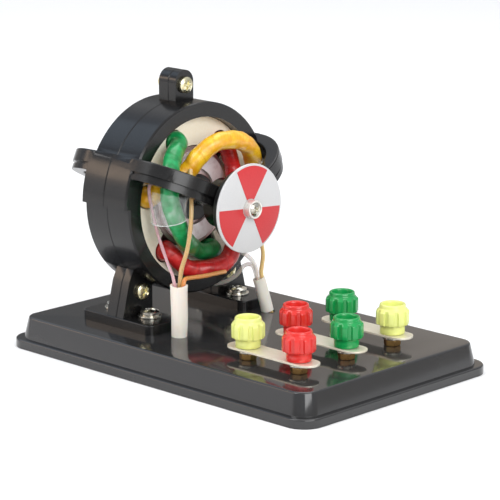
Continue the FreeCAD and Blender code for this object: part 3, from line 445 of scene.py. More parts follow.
# %% [markdown]
# ## Stacked sheets
# Stator and rotor aren't solid iron: they are stacks of thin sheets, and the turned rotor shows
# them as fine rings. A wave along the motor axis draws one sheet after another, half a millimetre
# each, and noise keeps the stack from looking printed.

# %% Laminated steel
def laminated(name, colour, gap_colour, sheet=0.5):
    """A stack of sheets along X: a wave with one period per sheet gives its line and its groove."""
    finish = Finish(name, {"Metallic": 0.85})
    wave = finish.maths("SINE", finish.axis("X") * (TURN / (sheet * MM)))
    line = finish.step(wave, 0.55, 0.98)
    blotches = finish.grain(5, 4)
    scuffs = finish.grain(0.8, 3)
    return finish.paint({
        "Base Color": finish.blend(line * 0.65 + 0.3 * finish.step(blotches, 0.4, 0.8),
                                   shade(*colour), shade(*gap_colour)),
        "Roughness": 0.34 + 0.25 * (blotches - 0.5) + 0.2 * line,
        "Normal": finish.relief(scuffs * 0.01 - line * 0.04),
    })


core_steel = laminated("core_steel", (150, 146, 144), (52, 48, 48))
rotor_steel = laminated("rotor_steel", (196, 174, 170), (96, 80, 78))
print("laminated:", core_steel.name, rotor_steel.name)

# %% [markdown]
# ## Fibre plate
# The cream plates in front of and behind the core are pressed fibre. The sheet is nearly flat in
# colour, with fibres in all directions and patches where varnish has browned it.

# %% Cream plate
def fibre_plate():
    """Pressed fibre: short fibres from stretched noise in two directions and brown varnish stains."""
    finish = Finish("plate_cream", {"Specular IOR Level": 0.4})
    lengthways = finish.grain(1, 3, finish.stretched((0.3, 2.5, 0.35), (0.5, 0, 0)))
    crossways = finish.grain(1, 3, finish.stretched((0.3, 0.35, 2.5), (-0.3, 0, 0)))
    stain = finish.step(finish.grain(9, 4), 0.52, 0.78)
    fibres = lengthways + crossways
    paper = finish.blend(finish.step(fibres, 0.8, 1.25), shade(252, 246, 228), shade(250, 242, 220))
    return finish.paint({
        "Base Color": finish.blend(stain * 0.3, paper, shade(234, 208, 168)),
        "Roughness": 0.5 + 0.2 * (lengthways - 0.5),
        "Normal": finish.relief(fibres, 0.02),
    })


plate_cream = fibre_plate()
print("plate:", plate_cream.name)

# %% [markdown]
# ## Winding tape
# Each winding is a bundle of wires wrapped in glossy plastic tape, every turn half over the last.
# The mesh marks tell how many turns of tape lie behind a point and how far round the bundle it is,
# so their sum has a whole number at every tape edge. There the tape is thicker and a shade darker,
# and between the edges fine threads run round the bundle. A satin sheen is painted on: the threads
# and broad patches blend the colour towards a lighter one.

# %% Taped windings
def taped(name, colour, deep, light):
    """Half-lapped tape: fraction(turns + share round) is 0 at one tape edge and 1 at the next.

    The threads of the tape are noise that is fine across turns + share and long round the bundle.
    They and broad patches of noise blend the colour towards light, a painted sheen.
    """
    finish = Finish(name, {"IOR": 1.48, "Coat Roughness": 0.24, "Coat Weight": 0.45})
    marks = finish.marks()
    share = finish.axis("Y", marks)
    wound = finish.axis("X", marks) + share
    edge = finish.step(finish.maths("FRACT", wound), 0.88, 0.99)
    slanted = finish.node("ShaderNodeCombineXYZ", {}, {"X": wound * 26, "Y": share * 4})
    threads_and_sheen = finish.noise(slanted, 1.0, 3.0)
    bands = finish.noise(finish.stretched((1.6, 3.0, 1), place=marks), 1.0, 2.0, 0.5)
    # Broad patches: real crease bumps, and patches of painted sheen in the colour
    creases_and_sheen = finish.grain(4, 2)
    colour, deep, light = shade(*colour), shade(*deep), shade(*light)
    body = finish.blend(finish.step(bands, 0.35, 0.65) * 0.7, colour, deep)
    # Painted sheen: broad patches lighten the tape towards the light colour
    body = finish.blend(finish.step(creases_and_sheen, 0.5, 0.75) * 0.45, body, light)
    # Painted satin sheen: the threads lighten it as well, over their real relief
    body = finish.blend(finish.step(threads_and_sheen, 0.45, 0.75) * 0.3, body, light)
    return finish.paint({
        "Base Color": finish.blend(edge * 0.35, body, deep),
        "Roughness": 0.34 + 0.2 * (threads_and_sheen - 0.5),
        "Normal": finish.relief(threads_and_sheen * 0.05 + bands * 0.08 + creases_and_sheen * 0.10 + edge * 0.03),
    })


# Each tape: its colour, a darker tone, and a lighter colour for the painted sheen
tape_finish = {
    "green": taped("tape_green", (4, 148, 76), (0, 104, 46), (34, 184, 112)),
    "yellow": taped("tape_yellow", (244, 190, 24), (220, 142, 10), (252, 224, 96)),
    "red": taped("tape_red", (206, 26, 28), (156, 10, 14), (236, 70, 62)),
}
print("tapes:", list(tape_finish))

# %% [markdown]
# ## Leads, sleeves and clear film
# The leads are thin wires in milky insulation. Glass would be truer for clear plastic, but it is
# noisy and dark at this size, so a pale edge from Layer Weight suggests the thickness. The woven
# sleeves read their marks for the braid, and the film lets light through by its alpha. Its
# reflections are painted: it turns whiter at grazing angles, at creases and along its cut edges.

# %% Leads
def lead_skin(name, colour, core, cover=1.0):
    """Milky insulation: the strands show in the middle, and the edge turns pale where it is thick."""
    finish = Finish(name, {"IOR": 1.47, "Coat Weight": 0.35, "Coat Roughness": 0.1, "Subsurface Weight": 0.25,
                           "Subsurface Scale": 0.001})
    rim = finish.facing(0.45)
    cloud = finish.grain(7, 3)
    fine = finish.grain(0.6, 2)
    body = finish.blend(rim * 0.8, shade(*core), shade(*colour))
    return finish.paint({
        "Base Color": finish.blend(finish.step(cloud, 0.45, 0.8) * 0.4, body, shade(*core)),
        "Roughness": 0.28 + 0.2 * (fine - 0.5),
        "Alpha": cover + 0.15 * (cloud - 0.5) + 0.2 * rim,
        "Normal": finish.relief(fine * 0.01 + cloud * 0.05),
    })


lead_finish = {
    "lead_pink": lead_skin("lead_pink", (226, 200, 204), (196, 152, 158)),
    "lead_amber": lead_skin("lead_amber", (228, 206, 162), (194, 158, 104)),
    "lead_orange": lead_skin("lead_orange", (232, 176, 108), (206, 128, 54)),
    "lead_straw": lead_skin("lead_straw", (240, 222, 172), (222, 190, 124)),
    "lead_clear": lead_skin("lead_clear", (244, 240, 234), (228, 218, 206), 0.42),
}
print("leads:", len(lead_finish))

# %% Sleeves and film
def woven_sleeve():
    """A braid: two families of slanted yarns, sin(p) and sin(q) with p and q turning opposite ways."""
    finish = Finish("sleeve_white", {
        "Subsurface Weight": 0.2, "Subsurface Scale": 0.002, "Sheen Weight": 0.15})
    marks = finish.marks()
    round_turns = finish.axis("X", marks) * (TURN * 18)
    up_turns = finish.axis("Y", marks) * (TURN * 60)
    weave = finish.maths("SINE", round_turns + up_turns) * finish.maths("SINE", round_turns - up_turns)
    fuzz = finish.grain(0.5, 3)
    grime = finish.step(finish.grain(6, 3), 0.5, 0.8)
    thread = finish.blend(weave * 0.25 + 0.5, shade(232, 218, 204), shade(250, 242, 232))
    return finish.paint({
        "Base Color": finish.blend(grime * 0.35, thread, shade(222, 196, 170)),
        "Roughness": 0.55 + 0.2 * (fuzz - 0.5),
        "Normal": finish.relief(weave * 0.035 + fuzz * 0.05),
    })


def clear_film():
    """Thin film: mostly let through, with painted reflections that make it whiter at grazing angles,
    at soft creases and along its cut edges.
    """
    finish = Finish("film_clear", {"IOR": 1.45, "Coat Weight": 0.8, "Coat Roughness": 0.05})
    # Painted reflections: the cut edges, the crease patches and the grazing rim make the film whiter and less
    # clear
    cut_edge_highlight = finish.step(finish.maths("ABSOLUTE", finish.axis("X", finish.marks()) - 0.5), 0.465, 0.49)
    creases_and_sheen = finish.grain(6, 2)
    rim = finish.facing(0.3)
    return finish.paint({
        "Base Color": finish.blend(creases_and_sheen, shade(214, 222, 220), shade(244, 246, 248)),
        "Roughness": 0.12 + 0.1 * (creases_and_sheen - 0.4),
        "Alpha": 0.05 + 0.10 * finish.step(creases_and_sheen, 0.5, 0.7) + 0.26 * rim + 0.45 * cut_edge_highlight,
        "Normal": finish.relief(creases_and_sheen, 0.25),
    })


sleeve_white = woven_sleeve()
film_clear = clear_film()
print("sleeve and film:", sleeve_white.name, film_clear.name)

# %% [markdown]
# ## Printed disc
# The disc is painted light grey and its three sectors are a red print on top. Print has a dry,
# slightly mottled surface, quite unlike the glossy frame behind it.

# %% Disc paint and print
def printed(name, colour, mottle, dull):
    """Paint or print: fine mottling in colour and a dry grain."""
    finish = Finish(name, {"Specular IOR Level": 0.45})
    fleck = finish.grain(0.5, 4)
    cloud = finish.grain(8, 2)
    return finish.paint({
        "Base Color": finish.blend(finish.step(fleck, 0.35, 0.75) * 0.55 + 0.2 * cloud,
                                   shade(*colour), shade(*mottle)),
        "Roughness": dull + 0.15 * (fleck - 0.5) + 0.08 * (cloud - 0.5),
        "Normal": finish.relief(fleck, 0.008),
    })


disc_silver = printed("disc_silver", (204, 204, 204), (190, 191, 193), 0.34)
disc_red = printed("disc_red", (200, 52, 56), (188, 42, 47), 0.40)
print("disc:", disc_silver.name, disc_red.name)

# %% [markdown]
# ## Softened solids
# The tray and the two housing halves are ribbed, bored shapes whose solids are already right. Only
# their edges are too sharp. Drawing them again as grids would risk a misfit, so a copy of the solid
# is merged into clean faces and gets a narrow Bevel, which catches light along every edge.

# %% Copies of solids with rounded edges
def softened(name, node, edge, finish, merge=0.005, sharp=25):
    """A copy of a solid: loose triangles merged, flat ones joined, sharp edges given a round of some mm.

    The Bevel stops where two rounds would overlap, so corners nearer than the merge distance are
    joined first, or the shortest edge would hold back every round.
    """
    mesh = frame["nodes"][node].data.copy()
    mesh.name = name
    shell = bmesh.new()
    shell.from_mesh(mesh)
    bmesh.ops.remove_doubles(shell, verts=shell.verts, dist=merge * MM)
    bmesh.ops.dissolve_degenerate(shell, dist=merge * MM, edges=shell.edges)
    bmesh.ops.dissolve_limit(shell, angle_limit=math.radians(1.0), verts=shell.verts, edges=shell.edges)
    shell.to_mesh(mesh)
    shell.free()
    made = shown(name, mesh, finish, sharp)
    bevel = made.modifiers.new("rounded_edges", "BEVEL")
    bevel.width = edge * MM
    bevel.segments = 2
    bevel.limit_method = "ANGLE"
    bevel.angle_limit = math.radians(sharp)
    bevel.use_clamp_overlap = True
    bevel.harden_normals = True
    stands_for(made, node)


softened("tray_moulding", "base_tray", 0.35, tray_black)
softened("front_housing_moulding", "front_housing", 0.25, frame_black, 0.04)
softened("rear_housing_moulding", "rear_housing", 0.25, frame_black, 0.04)
softened("front_fibre_plate", "front_end_plate", 0.12, plate_cream)
softened("rear_fibre_plate", "rear_end_plate", 0.12, plate_cream)
for row in ("near", "middle", "far"):
    softened("tinned_link_" + row, "link_bar_" + row, 0.25, link_metal)
softened("tag_set", "solder_tags", 0.1, link_metal)

# %% [markdown]
# ## Core and rotor
# These stay as solids, because turning and stacking give them plain shapes. They only need their
# finish, set on the solid's own material slots.

# %% Finishes on the solids that stay
def finished(node, finish):
    """A solid that keeps its shape and takes a finish on all its material slots."""
    data = frame["nodes"][node].data
    data.materials.clear()
    data.materials.append(finish)
    print(node, "is finished as", finish.name)


finished("stator_core", core_steel)
finished("rotor_core", rotor_steel)
finished("rotor_cage", cage_aluminium)

# %% [markdown]
# ## Turned pieces
# Bushes, collars, washers, the shaft and the disc with its black carrier were all made on a lathe
# or punched, so each is one profile carried round an axis. A hollow piece is a closed profile, and
# a full one starts and ends on the axis, where its points merge into a pole.

# %% Washers, bushes, collars, shaft and disc
# All in millimetres. The motor's axis runs along X, the housing halves meet at SEAM_X, and a hub
# starts HUB_REACH from there. SHAFT is the radius of the shaft, and the disc has its faces at two x.
AXIS_Z = 74.5
SEAM_X = -46.0
HUB_REACH = 29.0
SHAFT = 4.0
DISC_BACK = 1.8
DISC_FRONT = 3.0


def washer_patch(outer, bore, thickness, centre, axis, steps=72, ease=0.18):
    """A flat ring: a rectangle with eased corners carried round the axis."""
    loop = eased([(bore, 0), (outer, 0), (outer, thickness), (bore, thickness)], ease, 4, closed=True)
    return round_patch(loop, centre, axis, steps, hollow=True)


def on_axis(x):
    """A place on the motor's axis."""
    return (x, 0.0, AXIS_Z)


def bush_patch(outwards):
    """A flanged bush: the flange looks at the rotor, and the barrel fills the hub."""
    hub_inner = SEAM_X + outwards * HUB_REACH
    corners = [(4.05, -1.0), (7.5, -1.0), (7.5, 0.0), (6.0, 0.0), (6.0, 13.0), (4.05, 13.0)]
    loop = eased(corners, 0.2, 4, closed=True)
    return round_patch(loop, on_axis(hub_inner), (outwards, 0, 0), 72, hollow=True)


for side, place in ((1, "front"), (-1, "rear")):
    dressed(place + "_bush", place + "_bronze_bush", [bush_patch(side)], bush_bronze)
for side, place in ((1, "front"), (-1, "rear")):
    ring = washer_patch(11.3, SHAFT, 4.0, on_axis(SEAM_X + side * 9.5), (side, 0, 0), ease=0.6)
    dressed("rotor_collar_" + place, place + "_black_collar", [ring], part_black)
stop_ring = washer_patch(7.0, SHAFT, 4.0, on_axis(-92.3), ALONG, ease=0.4)
dressed("rear_stop_collar", "brass_stop_collar", [stop_ring], brass)
shaft_profile = eased([(0, -94.0), (SHAFT, -94.0), (SHAFT, DISC_BACK), (0, DISC_BACK)], 0.5, 4)
dressed("rotor_shaft", "ground_shaft", [round_patch(shaft_profile, on_axis(0), ALONG, 64)], shaft_steel)
carrier = washer_patch(18.4, SHAFT, 5.4, on_axis(-3.6), ALONG, 128, 0.5)
dressed("disc_carrier", "black_disc_carrier", [carrier], part_black)
disc = washer_patch(21.5, 1.55, DISC_FRONT - DISC_BACK, on_axis(DISC_BACK), ALONG, 160, 0.3)
dressed("sector_disc", "painted_disc", [disc], disc_silver)


def sector_patch(middle):
    """A printed sector: its section, inner to outer radius and 0.15 mm thick, carried over 60 degrees."""
    clock = np.radians(middle + np.linspace(-30, 30, 49))[:, None]
    low, high = DISC_FRONT, DISC_FRONT + 0.15
    section = eased([(4.7, low), (20.5, low), (20.5, high), (4.7, high)], 0.05, 3, closed=True)
    radius, x = section[None, :, 0], section[None, :, 1]
    ring = np.stack([x + 0 * clock, radius * np.sin(clock), AXIS_Z + radius * np.cos(clock)], axis=-1)
    return patch(ring, caps=True)


dressed("disc_red_sectors", "red_print", [sector_patch(5 + 120 * k) for k in range(3)], disc_red)

# %% [markdown]
# ## Screws, nuts and threads
# A pan head is a low dome with a cross recess. Cutting the cross with a Boolean would leave long
# thin faces, so the recess is a dip in the height of a fine turned grid. The thread is the same
# idea: the radius rises and falls with the height, and one full turn shifts it by one pitch.

# %% Pan screws
def thread(pitch, depth, from_height, to_height):
    """A swell for a thread: radius minus depth times a triangle wave of height / pitch - turn."""
    def swell(turn, radius, height):
        wave = np.abs((height / pitch - turn / TURN) % 1.0 * 2 - 1)
        inside = (height > from_height) & (height < to_height) & (radius > 0.5)
        return radius - depth * wave * inside, height
    return swell


def cross_dip(x, y, reach, half):
    """How deep the cross recess is, 0 to 1: full inside a wing, with sloped ends and walls."""
    ends = ramp(np.abs(x), reach, 0.65 * reach)
    walls = ramp(np.abs(y), half, 0.4 * half)
    return np.minimum(ends, walls)


def pan_screw_patch(shank, length, head, rise, centre, axis, pitch, turn_by=0.4):
    """A screw from the top of its dome to the end of its thread. Height 0 is the underside of the head."""
    arc = np.linspace(0, 1, 30)
    dome = np.stack([head * arc, rise - 0.42 * rise * arc ** 2.6], axis=1)
    side = eased([(head, 0.58 * rise), (head, 0.0), (shank, 0.0)], 0.25, 4)
    grooves = np.arange(-0.5, -length, -pitch / 6)
    shaft = np.stack([np.full(len(grooves), shank), grooves], axis=1)
    tip = np.array([(0.8 * shank, -length - 0.3), (0, -length - 0.3)])
    profile = np.concatenate([dome, side[1:], shaft, tip])
    cut = thread(pitch, 0.12 * shank, -length, -0.4)

    def swell(turn, radius, height):
        """The thread below the head and the cross recess in its dome."""
        x = radius * np.cos(turn + turn_by)
        y = radius * np.sin(turn + turn_by)
        wing = (0.6 * head, 0.17 * head)
        dip = np.maximum(cross_dip(x, y, *wing), cross_dip(y, x, *wing)) * (height > 0.3 * rise)
        radius, height = cut(turn, radius, height)
        return radius, height - 0.5 * rise * dip

    return round_patch(profile, centre, axis, 96, swell)


CLAMP_FACE = -41.0
CLAMP_BACK = -52.5
clamp_places = [(0.0, 128.5), (-29.5, 31.5), (29.5, 31.5)]
clamp_heads = [
    pan_screw_patch(2.0, 16.4, 4.0, 2.7, (CLAMP_FACE, y, z), ALONG, 0.7, 0.3 + y) for y, z in clamp_places]
dressed("clamp_screws", "clamp_screw_set", clamp_heads, screw_zinc, 32)
FOOT_TOP = 20.0
FOOT_WASHER = 1.0
FOOT_NUT = 8.2
foot_places = [(x, y) for x in (-35.0, -58.5) for y in (-30.0, 30.0)]
foot_heads = [
    pan_screw_patch(2.5, 14.5, 4.7, 3.0, (x, y, FOOT_TOP + FOOT_WASHER), UP, 0.8, 0.2 + x)
    for x, y in foot_places]
dressed("foot_screws", "foot_screw_set", foot_heads, screw_steel, 32)
disc_head = pan_screw_patch(1.5, 11.7, 3.1, 2.2, on_axis(5.6), ALONG, 0.5, 0.9)
dressed("disc_screw", "disc_pan_screw", [disc_head], screw_steel, 32)
boss_loop = eased([(1.55, 0), (4.4, 0), (4.4, 4.0), (3.4, 4.0), (3.4, 2.6), (1.55, 2.6)], 0.3, 5, closed=True)
boss_patch = round_patch(boss_loop, on_axis(DISC_FRONT), ALONG, 96, hollow=True)
dressed("disc_boss", "polished_disc_boss", [boss_patch], boss_plating)
foot_rings = [washer_patch(5.8, 2.6, FOOT_WASHER, (x, y, FOOT_TOP), UP) for x, y in foot_places]
dressed("foot_washers", "foot_washer_set", foot_rings, screw_steel)

# %% Hexagon nuts
def nut_patch(flats, height, bore, centre, axis):
    """A hexagon nut: radius = the least of the hexagon at that turn and the chamfer cone at that height."""
    ease = 0.25
    wall = np.stack([np.full(12, flats / math.sqrt(3)), np.linspace(0, 1, 12) * height], axis=1)
    inner = [(bore + ease, height), (bore, height - ease), (bore, ease)]
    loop = np.concatenate([[(bore + ease, 0)], wall, inner])

    def swell(turn, radius, level):
        """Flats at every 60 degrees, and a cone of 30 degrees at both faces."""
        flat = (flats / 2) / np.cos((turn + math.pi / 6) % (math.pi / 3) - math.pi / 6)
        depth = np.minimum(level, height - level)
        cone = flats / 2 * 0.97 + depth / math.tan(math.radians(30))
        outside = radius > bore + 0.3
        return np.where(outside, np.minimum(flat, cone), radius), level

    return round_patch(loop, centre, axis, 72, swell, hollow=True)


clamp_nut_set = [nut_patch(7.0, 3.2, 1.9, (CLAMP_BACK, y, z), (-1, 0, 0)) for y, z in clamp_places]
dressed("clamp_nuts", "clamp_nut_set", clamp_nut_set, screw_zinc, 25)
foot_nut_set = [nut_patch(8.0, 4.0, 2.4, (x, y, FOOT_NUT), UP) for x, y in foot_places]
dressed("foot_nuts", "foot_nut_set", foot_nut_set, screw_steel, 25)

# %% Terminal studs, nuts and washers
POST_XS = (37.5, 69.5)
POST_YS = (-36.5, -4.5, 27.5)
posts = [(x, y) for y in POST_YS for x in POST_XS]
POST_PITCH = 0.7
stud_heights = np.arange(3.3, 29.3, POST_PITCH / 6)
stud_profile = np.concatenate([
    [(0, 3.0), (1.7, 3.0)], np.stack([np.full(len(stud_heights), 2.0), stud_heights], axis=1),
    [(1.7, 29.6), (0, 29.6)]])
stud_thread = thread(POST_PITCH, 0.24, 3.2, 29.4)
stud_set = [round_patch(stud_profile, (x, y, 0), UP, 24, stud_thread) for x, y in posts]
dressed("post_studs", "threaded_stud_set", stud_set, brass, 60)
TRAY_TOP = 15.0
TAG_LEVEL = 7.4
TAG_THICKNESS = 0.8
NUT_HEIGHT = 3.2
POST_WASHER = 0.8
nut_levels = (TRAY_TOP, TAG_LEVEL + TAG_THICKNESS, TAG_LEVEL - NUT_HEIGHT)
brass_nuts = [nut_patch(7.0, NUT_HEIGHT, 1.9, (x, y, z), UP) for x, y in posts for z in nut_levels]
dressed("post_nuts", "brass_nut_set", brass_nuts, brass, 25)
nut_top = TRAY_TOP + NUT_HEIGHT
ring_levels = (nut_top, nut_top + POST_WASHER, nut_levels[1] + NUT_HEIGHT)
post_rings = [washer_patch(4.5, 2.0, POST_WASHER, (x, y, z), UP) for x, y in posts for z in ring_levels]
dressed("post_washers", "post_washer_set", post_rings, screw_steel)

# %% [markdown]
# ## Screw caps
# A cap has a smooth skirt, a grip with ten square ribs, a rounded rim and a recess in its top. Ten
# ribs could be copies of one box joined to a cylinder, but then every joint would show a hard line.
# Here one turned profile has a rib weight at each point, and the radius grows by that weight times
# a smooth square wave round the cap, so ribs and body are one moulding.

# %% Caps and their brass cores
CAP_SEAT = 20.9
CORE_HEIGHT = 9.0
CAP_RIBS = 10
RIB_RISE = 0.9
RIB_PITCH = 4.62
cap_profile = np.array([
    (0.0, 9.8, 0), (4.2, 9.8, 0), (4.55, 9.9, 0), (4.68, 10.3, 0), (4.7, 13.4, 0), (4.88, 13.95, 0),
    (5.2, 14.25, 0), (5.6, 14.3, 0), (5.95, 14.1, 0), (6.15, 13.65, 0), (6.25, 13.0, 0), (6.3, 12.45, 0),
    (6.48, 12.3, 0), (6.7, 12.08, 0), (6.86, 11.85, 0.02), (6.9, 11.5, 0.3), (6.9, 11.15, 0.62),
    (6.9, 10.85, 0.9), (6.9, 10.5, 1), (6.9, 8.5, 1), (6.9, 6.5, 1), (6.9, 5.0, 1), (6.88, 4.72, 0.9),
    (6.75, 4.5, 0.6), (6.45, 4.42, 0.2), (6.05, 4.38, 0), (5.9, 4.2, 0), (5.9, 2.5, 0), (5.9, 0.5, 0),
    (5.76, 0.13, 0), (5.4, 0.0, 0), (4.3, 0.0, 0), (4.05, 0.25, 0), (4.05, 9.1, 0), (0.0, 9.1, 0),
])


def cap_patch(x, y):
    """radius = profile + rib weight * rib rise * wave, where the wave is 1 on a rib and 0 between ribs."""
    turn = around_circle(240)
    from_rib = np.abs((turn * CAP_RIBS / TURN) % 1.0 - 0.5) * RIB_PITCH
    wave = ramp(from_rib, 1.52, 1.16)
    wave = wave * wave * (3 - 2 * wave)
    radius = cap_profile[:, 0] + RIB_RISE * cap_profile[:, 2] * wave
    height = CAP_SEAT + cap_profile[:, 1] + 0 * turn
    points = np.stack([x + radius * np.cos(turn), y + radius * np.sin(turn), height], axis=-1)
    return patch(points, wrap_rows=True, wrap_columns=False)


cap_colours = {"near": ("yellow", "red"), "middle": ("red", "green"), "far": ("green", "yellow")}
for row, y in zip(("near", "middle", "far"), POST_YS):
    for side, x, colour in zip(("left", "right"), POST_XS, cap_colours[row]):
        post = f"{row}_{side}"
        dressed("cap_" + post, "grip_cap_" + post, [cap_patch(x, y)], cap_finish[colour], 50)
        core = washer_patch(4.0, 2.05, CORE_HEIGHT, (x, y, CAP_SEAT), UP, 48, 0.3)
        dressed("insert_" + post, "brass_core_" + post, [core], brass)

# %% [markdown]
# ## Windings
# Each winding leaves a slot, bows over the rotor's face to the slot opposite, and comes back behind
# the core. A thick curve would do for the path, but a taped bundle is never evenly round. So the
# path is a smooth line with a few stations as its corners, and the radius of the swept surface
# carries the lumps of the bundle and a small step at each edge of the tape.

# %% Bundles
SLOT_RADIUS = 30.6
SLOT_INSIDE_X = -38.0
SLOT_MOUTH_X = -32.0
BUNDLE_ROWS = 420
BUNDLE_COLUMNS = 48
TAPE_STEP = 7.5
# Where the half turn starts, in degrees, and then radius and x at every 20 degrees of it.
bundle_routes = {
    "green": (-22, [(34.0, -25.5), (33.5, -21.3), (32.0, -18.9), (29.0, -17.0),
                    (26.5, -19.0), (25.0, -22.5), (23.5, -28.5), (27.5, -31.5)]),
    "yellow": (98, [(34.0, -27.0), (33.0, -21.9), (32.5, -18.5), (31.0, -17.0),
                    (29.5, -19.0), (24.5, -22.5), (20.5, -25.0), (27.0, -31.0)]),
    "red": (-142, [(35.5, -29.5), (34.5, -23.5), (34.5, -23.0), (29.5, -26.5),
                   (26.5, -21.0), (24.0, -23.0), (22.0, -28.3), (26.5, -31.0)]),
}


def clock_place(clock, radius, x):
    """A place at a clock angle, measured from the top and positive towards +Y."""
    turn = np.radians(clock)
    return np.stack([x + 0 * turn, radius * np.sin(turn), AXIS_Z + radius * np.cos(turn)], axis=-1)


def winding(colour, start, stations):
    """A closed bundle, in front as behind, through two slots.

    radius = 4.35 + 0.8 * (weight that is 1 inside its slot) - 0.45 * (weight that is 1 as it comes out
    of the slot) + lumps (slow waves along and round) + 0.14 * fraction(turns of tape + share round).
    """
    slot = [(SLOT_RADIUS, SLOT_INSIDE_X), (SLOT_RADIUS, SLOT_MOUTH_X)]
    radius, x = np.array(slot + stations + slot[::-1]).T
    clock = start - np.array([0, 0, *range(20, 180, 20), 180, 180])
    front = clock_place(clock, radius, x)
    behind = front[::-1].copy()
    behind[:, 0] = 2 * SEAM_X - behind[:, 0]
    path, length = smooth_line(np.concatenate([front, behind]), BUNDLE_ROWS, closed=True)
    outwards = path * (0, 1, 1) - (0, 0, AXIS_Z)
    laps = round(length / TAPE_STEP)
    share = np.arange(BUNDLE_COLUMNS)[None, :] / BUNDLE_COLUMNS
    along = np.arange(BUNDLE_ROWS)[:, None] / BUNDLE_ROWS
    lumps = 0
    for high, waves, twists, shift in (
        (0.10, 9, 2, 0.0), (0.07, 23, -3, 1.0), (0.05, laps, 4, 2.0), (0.05, 4, 5, 0.0),
    ):
        lumps = lumps + high * np.sin(TURN * (waves * along + twists * share) + shift)
    lap_step = 0.14 * ((laps * along + share) % 1.0)
    from_seam = np.abs(path[:, :1] - SEAM_X)
    inside = ramp(from_seam, 8.4, 9.4) * ramp(from_seam, 13.6, 11.0)
    outside = ramp(from_seam, 13.0, 15.0) * ramp(from_seam, 23.0, 16.0)
    radius = 4.35 + 0.8 * inside - 0.45 * outside + lumps + lap_step
    tube = swept(path, radius, BUNDLE_COLUMNS, outwards, closed=True)
    turns = np.arange(BUNDLE_ROWS + 1) * laps / BUNDLE_ROWS
    bundle = patch(tube, wrap_rows=True, along=turns)
    dressed("coil_" + colour, "taped_winding_" + colour, [bundle], tape_finish[colour], 60)
    print(f"{colour} winding: one turn is {length:.0f} mm")


for colour, (start, stations) in bundle_routes.items():
    winding(colour, start, stations)

# %% [markdown]
# ## Clear film
# A strip of clear film is bent round the front of the green winding. It is a thin closed shell: an
# arc out, the same arc back a little further in, carried a short way round the motor axis. Its radius
# ripples, because film never lies truly round.

# %% Film
def film_patch():
    """Section angle a, clock c: radius = face + ripple(a, c), out on one face and back on the other.

    The section is an arc about a point 31.5 mm from the motor's axis, in front of the core.
    """
    ring, ring_x = 31.5, -19.8
    clock = np.linspace(-98, -75.5, 31)[:, None]
    out = np.linspace(-50, 138, 60)
    angle = np.radians(np.concatenate([out, out[::-1]]))[None, :]
    face = np.repeat([8.7, 8.42], len(out))[None, :]
    ripple = 0.12 * np.sin(3.1 * angle + 0.21 * clock) + 0.06 * np.sin(7 * angle - 0.33 * clock)
    radius = ring + (face + ripple) * np.sin(angle)
    x = ring_x + (face + ripple) * np.cos(angle)
    return patch(clock_place(clock + 0 * angle, radius, x), caps=True, along=np.linspace(0, 1, 32))


dressed("coil_wrap_film", "clear_film_strip", [film_patch()], film_clear, 60)

# %% [markdown]
# ## Sleeves and leads
# Three leads go down each woven sleeve and through the tray to their tags. A lead is held at both
# ends and in the sleeve, so its route is a list of control points for one smooth spline. The
# sleeves are short tubes with a real wall, and their rims flare and wobble as cut braid does.

# %% Sleeves
def braid_patch(foot, top, radii, bore, flare):
    """A tube from foot to top: the radius widens upwards and wobbles by a few hundredths of itself."""
    foot, top = np.array(foot, float), np.array(top, float)
    length = np.linalg.norm(top - foot)
    rise = np.linspace(0, 1, 40)
    outer = radii[0] + (radii[1] - radii[0]) * rise + flare * rise ** 8
    inner = bore + flare * rise[::-1] ** 8
    rim = [(outer[-1] - 0.2, length + 0.12), (inner[0] + 0.2, length + 0.12)]
    profile = np.concatenate([np.stack([outer, rise * length], axis=1), rim,
                              np.stack([inner, rise[::-1] * length], axis=1)])

    def swell(turn, radius, height):
        """Two slow waves round and along."""
        wobble = 0.025 * np.sin(3 * turn + 0.25 * height) + 0.02 * np.sin(2 * turn - 0.16 * height + 1)
        return radius * (1 + wobble), height + 0.25 * np.sin(2 * turn + 0.7) * (height / length) ** 6

    grid = turned(profile, foot, (top - foot) / length, 64, swell)
    return patch(grid, wrap_rows=True, along=np.arange(65) / 64)


UPRIGHT = (-12.5, -32.0)
TILTED_TOP = (-17.2, 27.1, 31.7)
upright = braid_patch((*UPRIGHT, TRAY_TOP), (*UPRIGHT, 39.9), (3.7, 4.2), 3.2, 0.1)
dressed("left_sleeve", "upright_sleeve", [upright], sleeve_white, 60)
tilted = braid_patch((-14.16, 30.13, 15.15), TILTED_TOP, (3.05, 3.0), 2.6, 0.05)
dressed("right_sleeve", "tilted_sleeve", [tilted], sleeve_white, 60)

# %% Leads
LEAD_LEVEL = 6.25
FROM_MIDDLE = 1.39


def through_upright(angle):
    """Where a lead passes under the tray below the upright sleeve."""
    turn = math.radians(angle)
    x, y = UPRIGHT
    return [(x + FROM_MIDDLE * math.cos(turn), y + FROM_MIDDLE * math.sin(turn), LEAD_LEVEL)]


def through_tilted(angle):
    """Two corners of a lead in the tilted sleeve: above its rim, and under the tray on the same line."""
    foot, top = np.array((-14.3, 30.0, 15.9)), np.array(TILTED_TOP)
    along = (top - foot) / np.linalg.norm(top - foot)
    side = np.cross(along, (0, 1, 0))
    side /= np.linalg.norm(side)
    turn = math.radians(angle)
    shift = (side * math.cos(turn) + np.cross(along, side) * math.sin(turn)) * FROM_MIDDLE
    low = foot + shift
    return [tuple(top + along * 1.5 + shift), tuple(low - along * (low[2] - LEAD_LEVEL) / along[2])]


def below(*places):
    """Corner points on the level where the leads run under the tray."""
    return [(x, y, LEAD_LEVEL) for x, y in places]


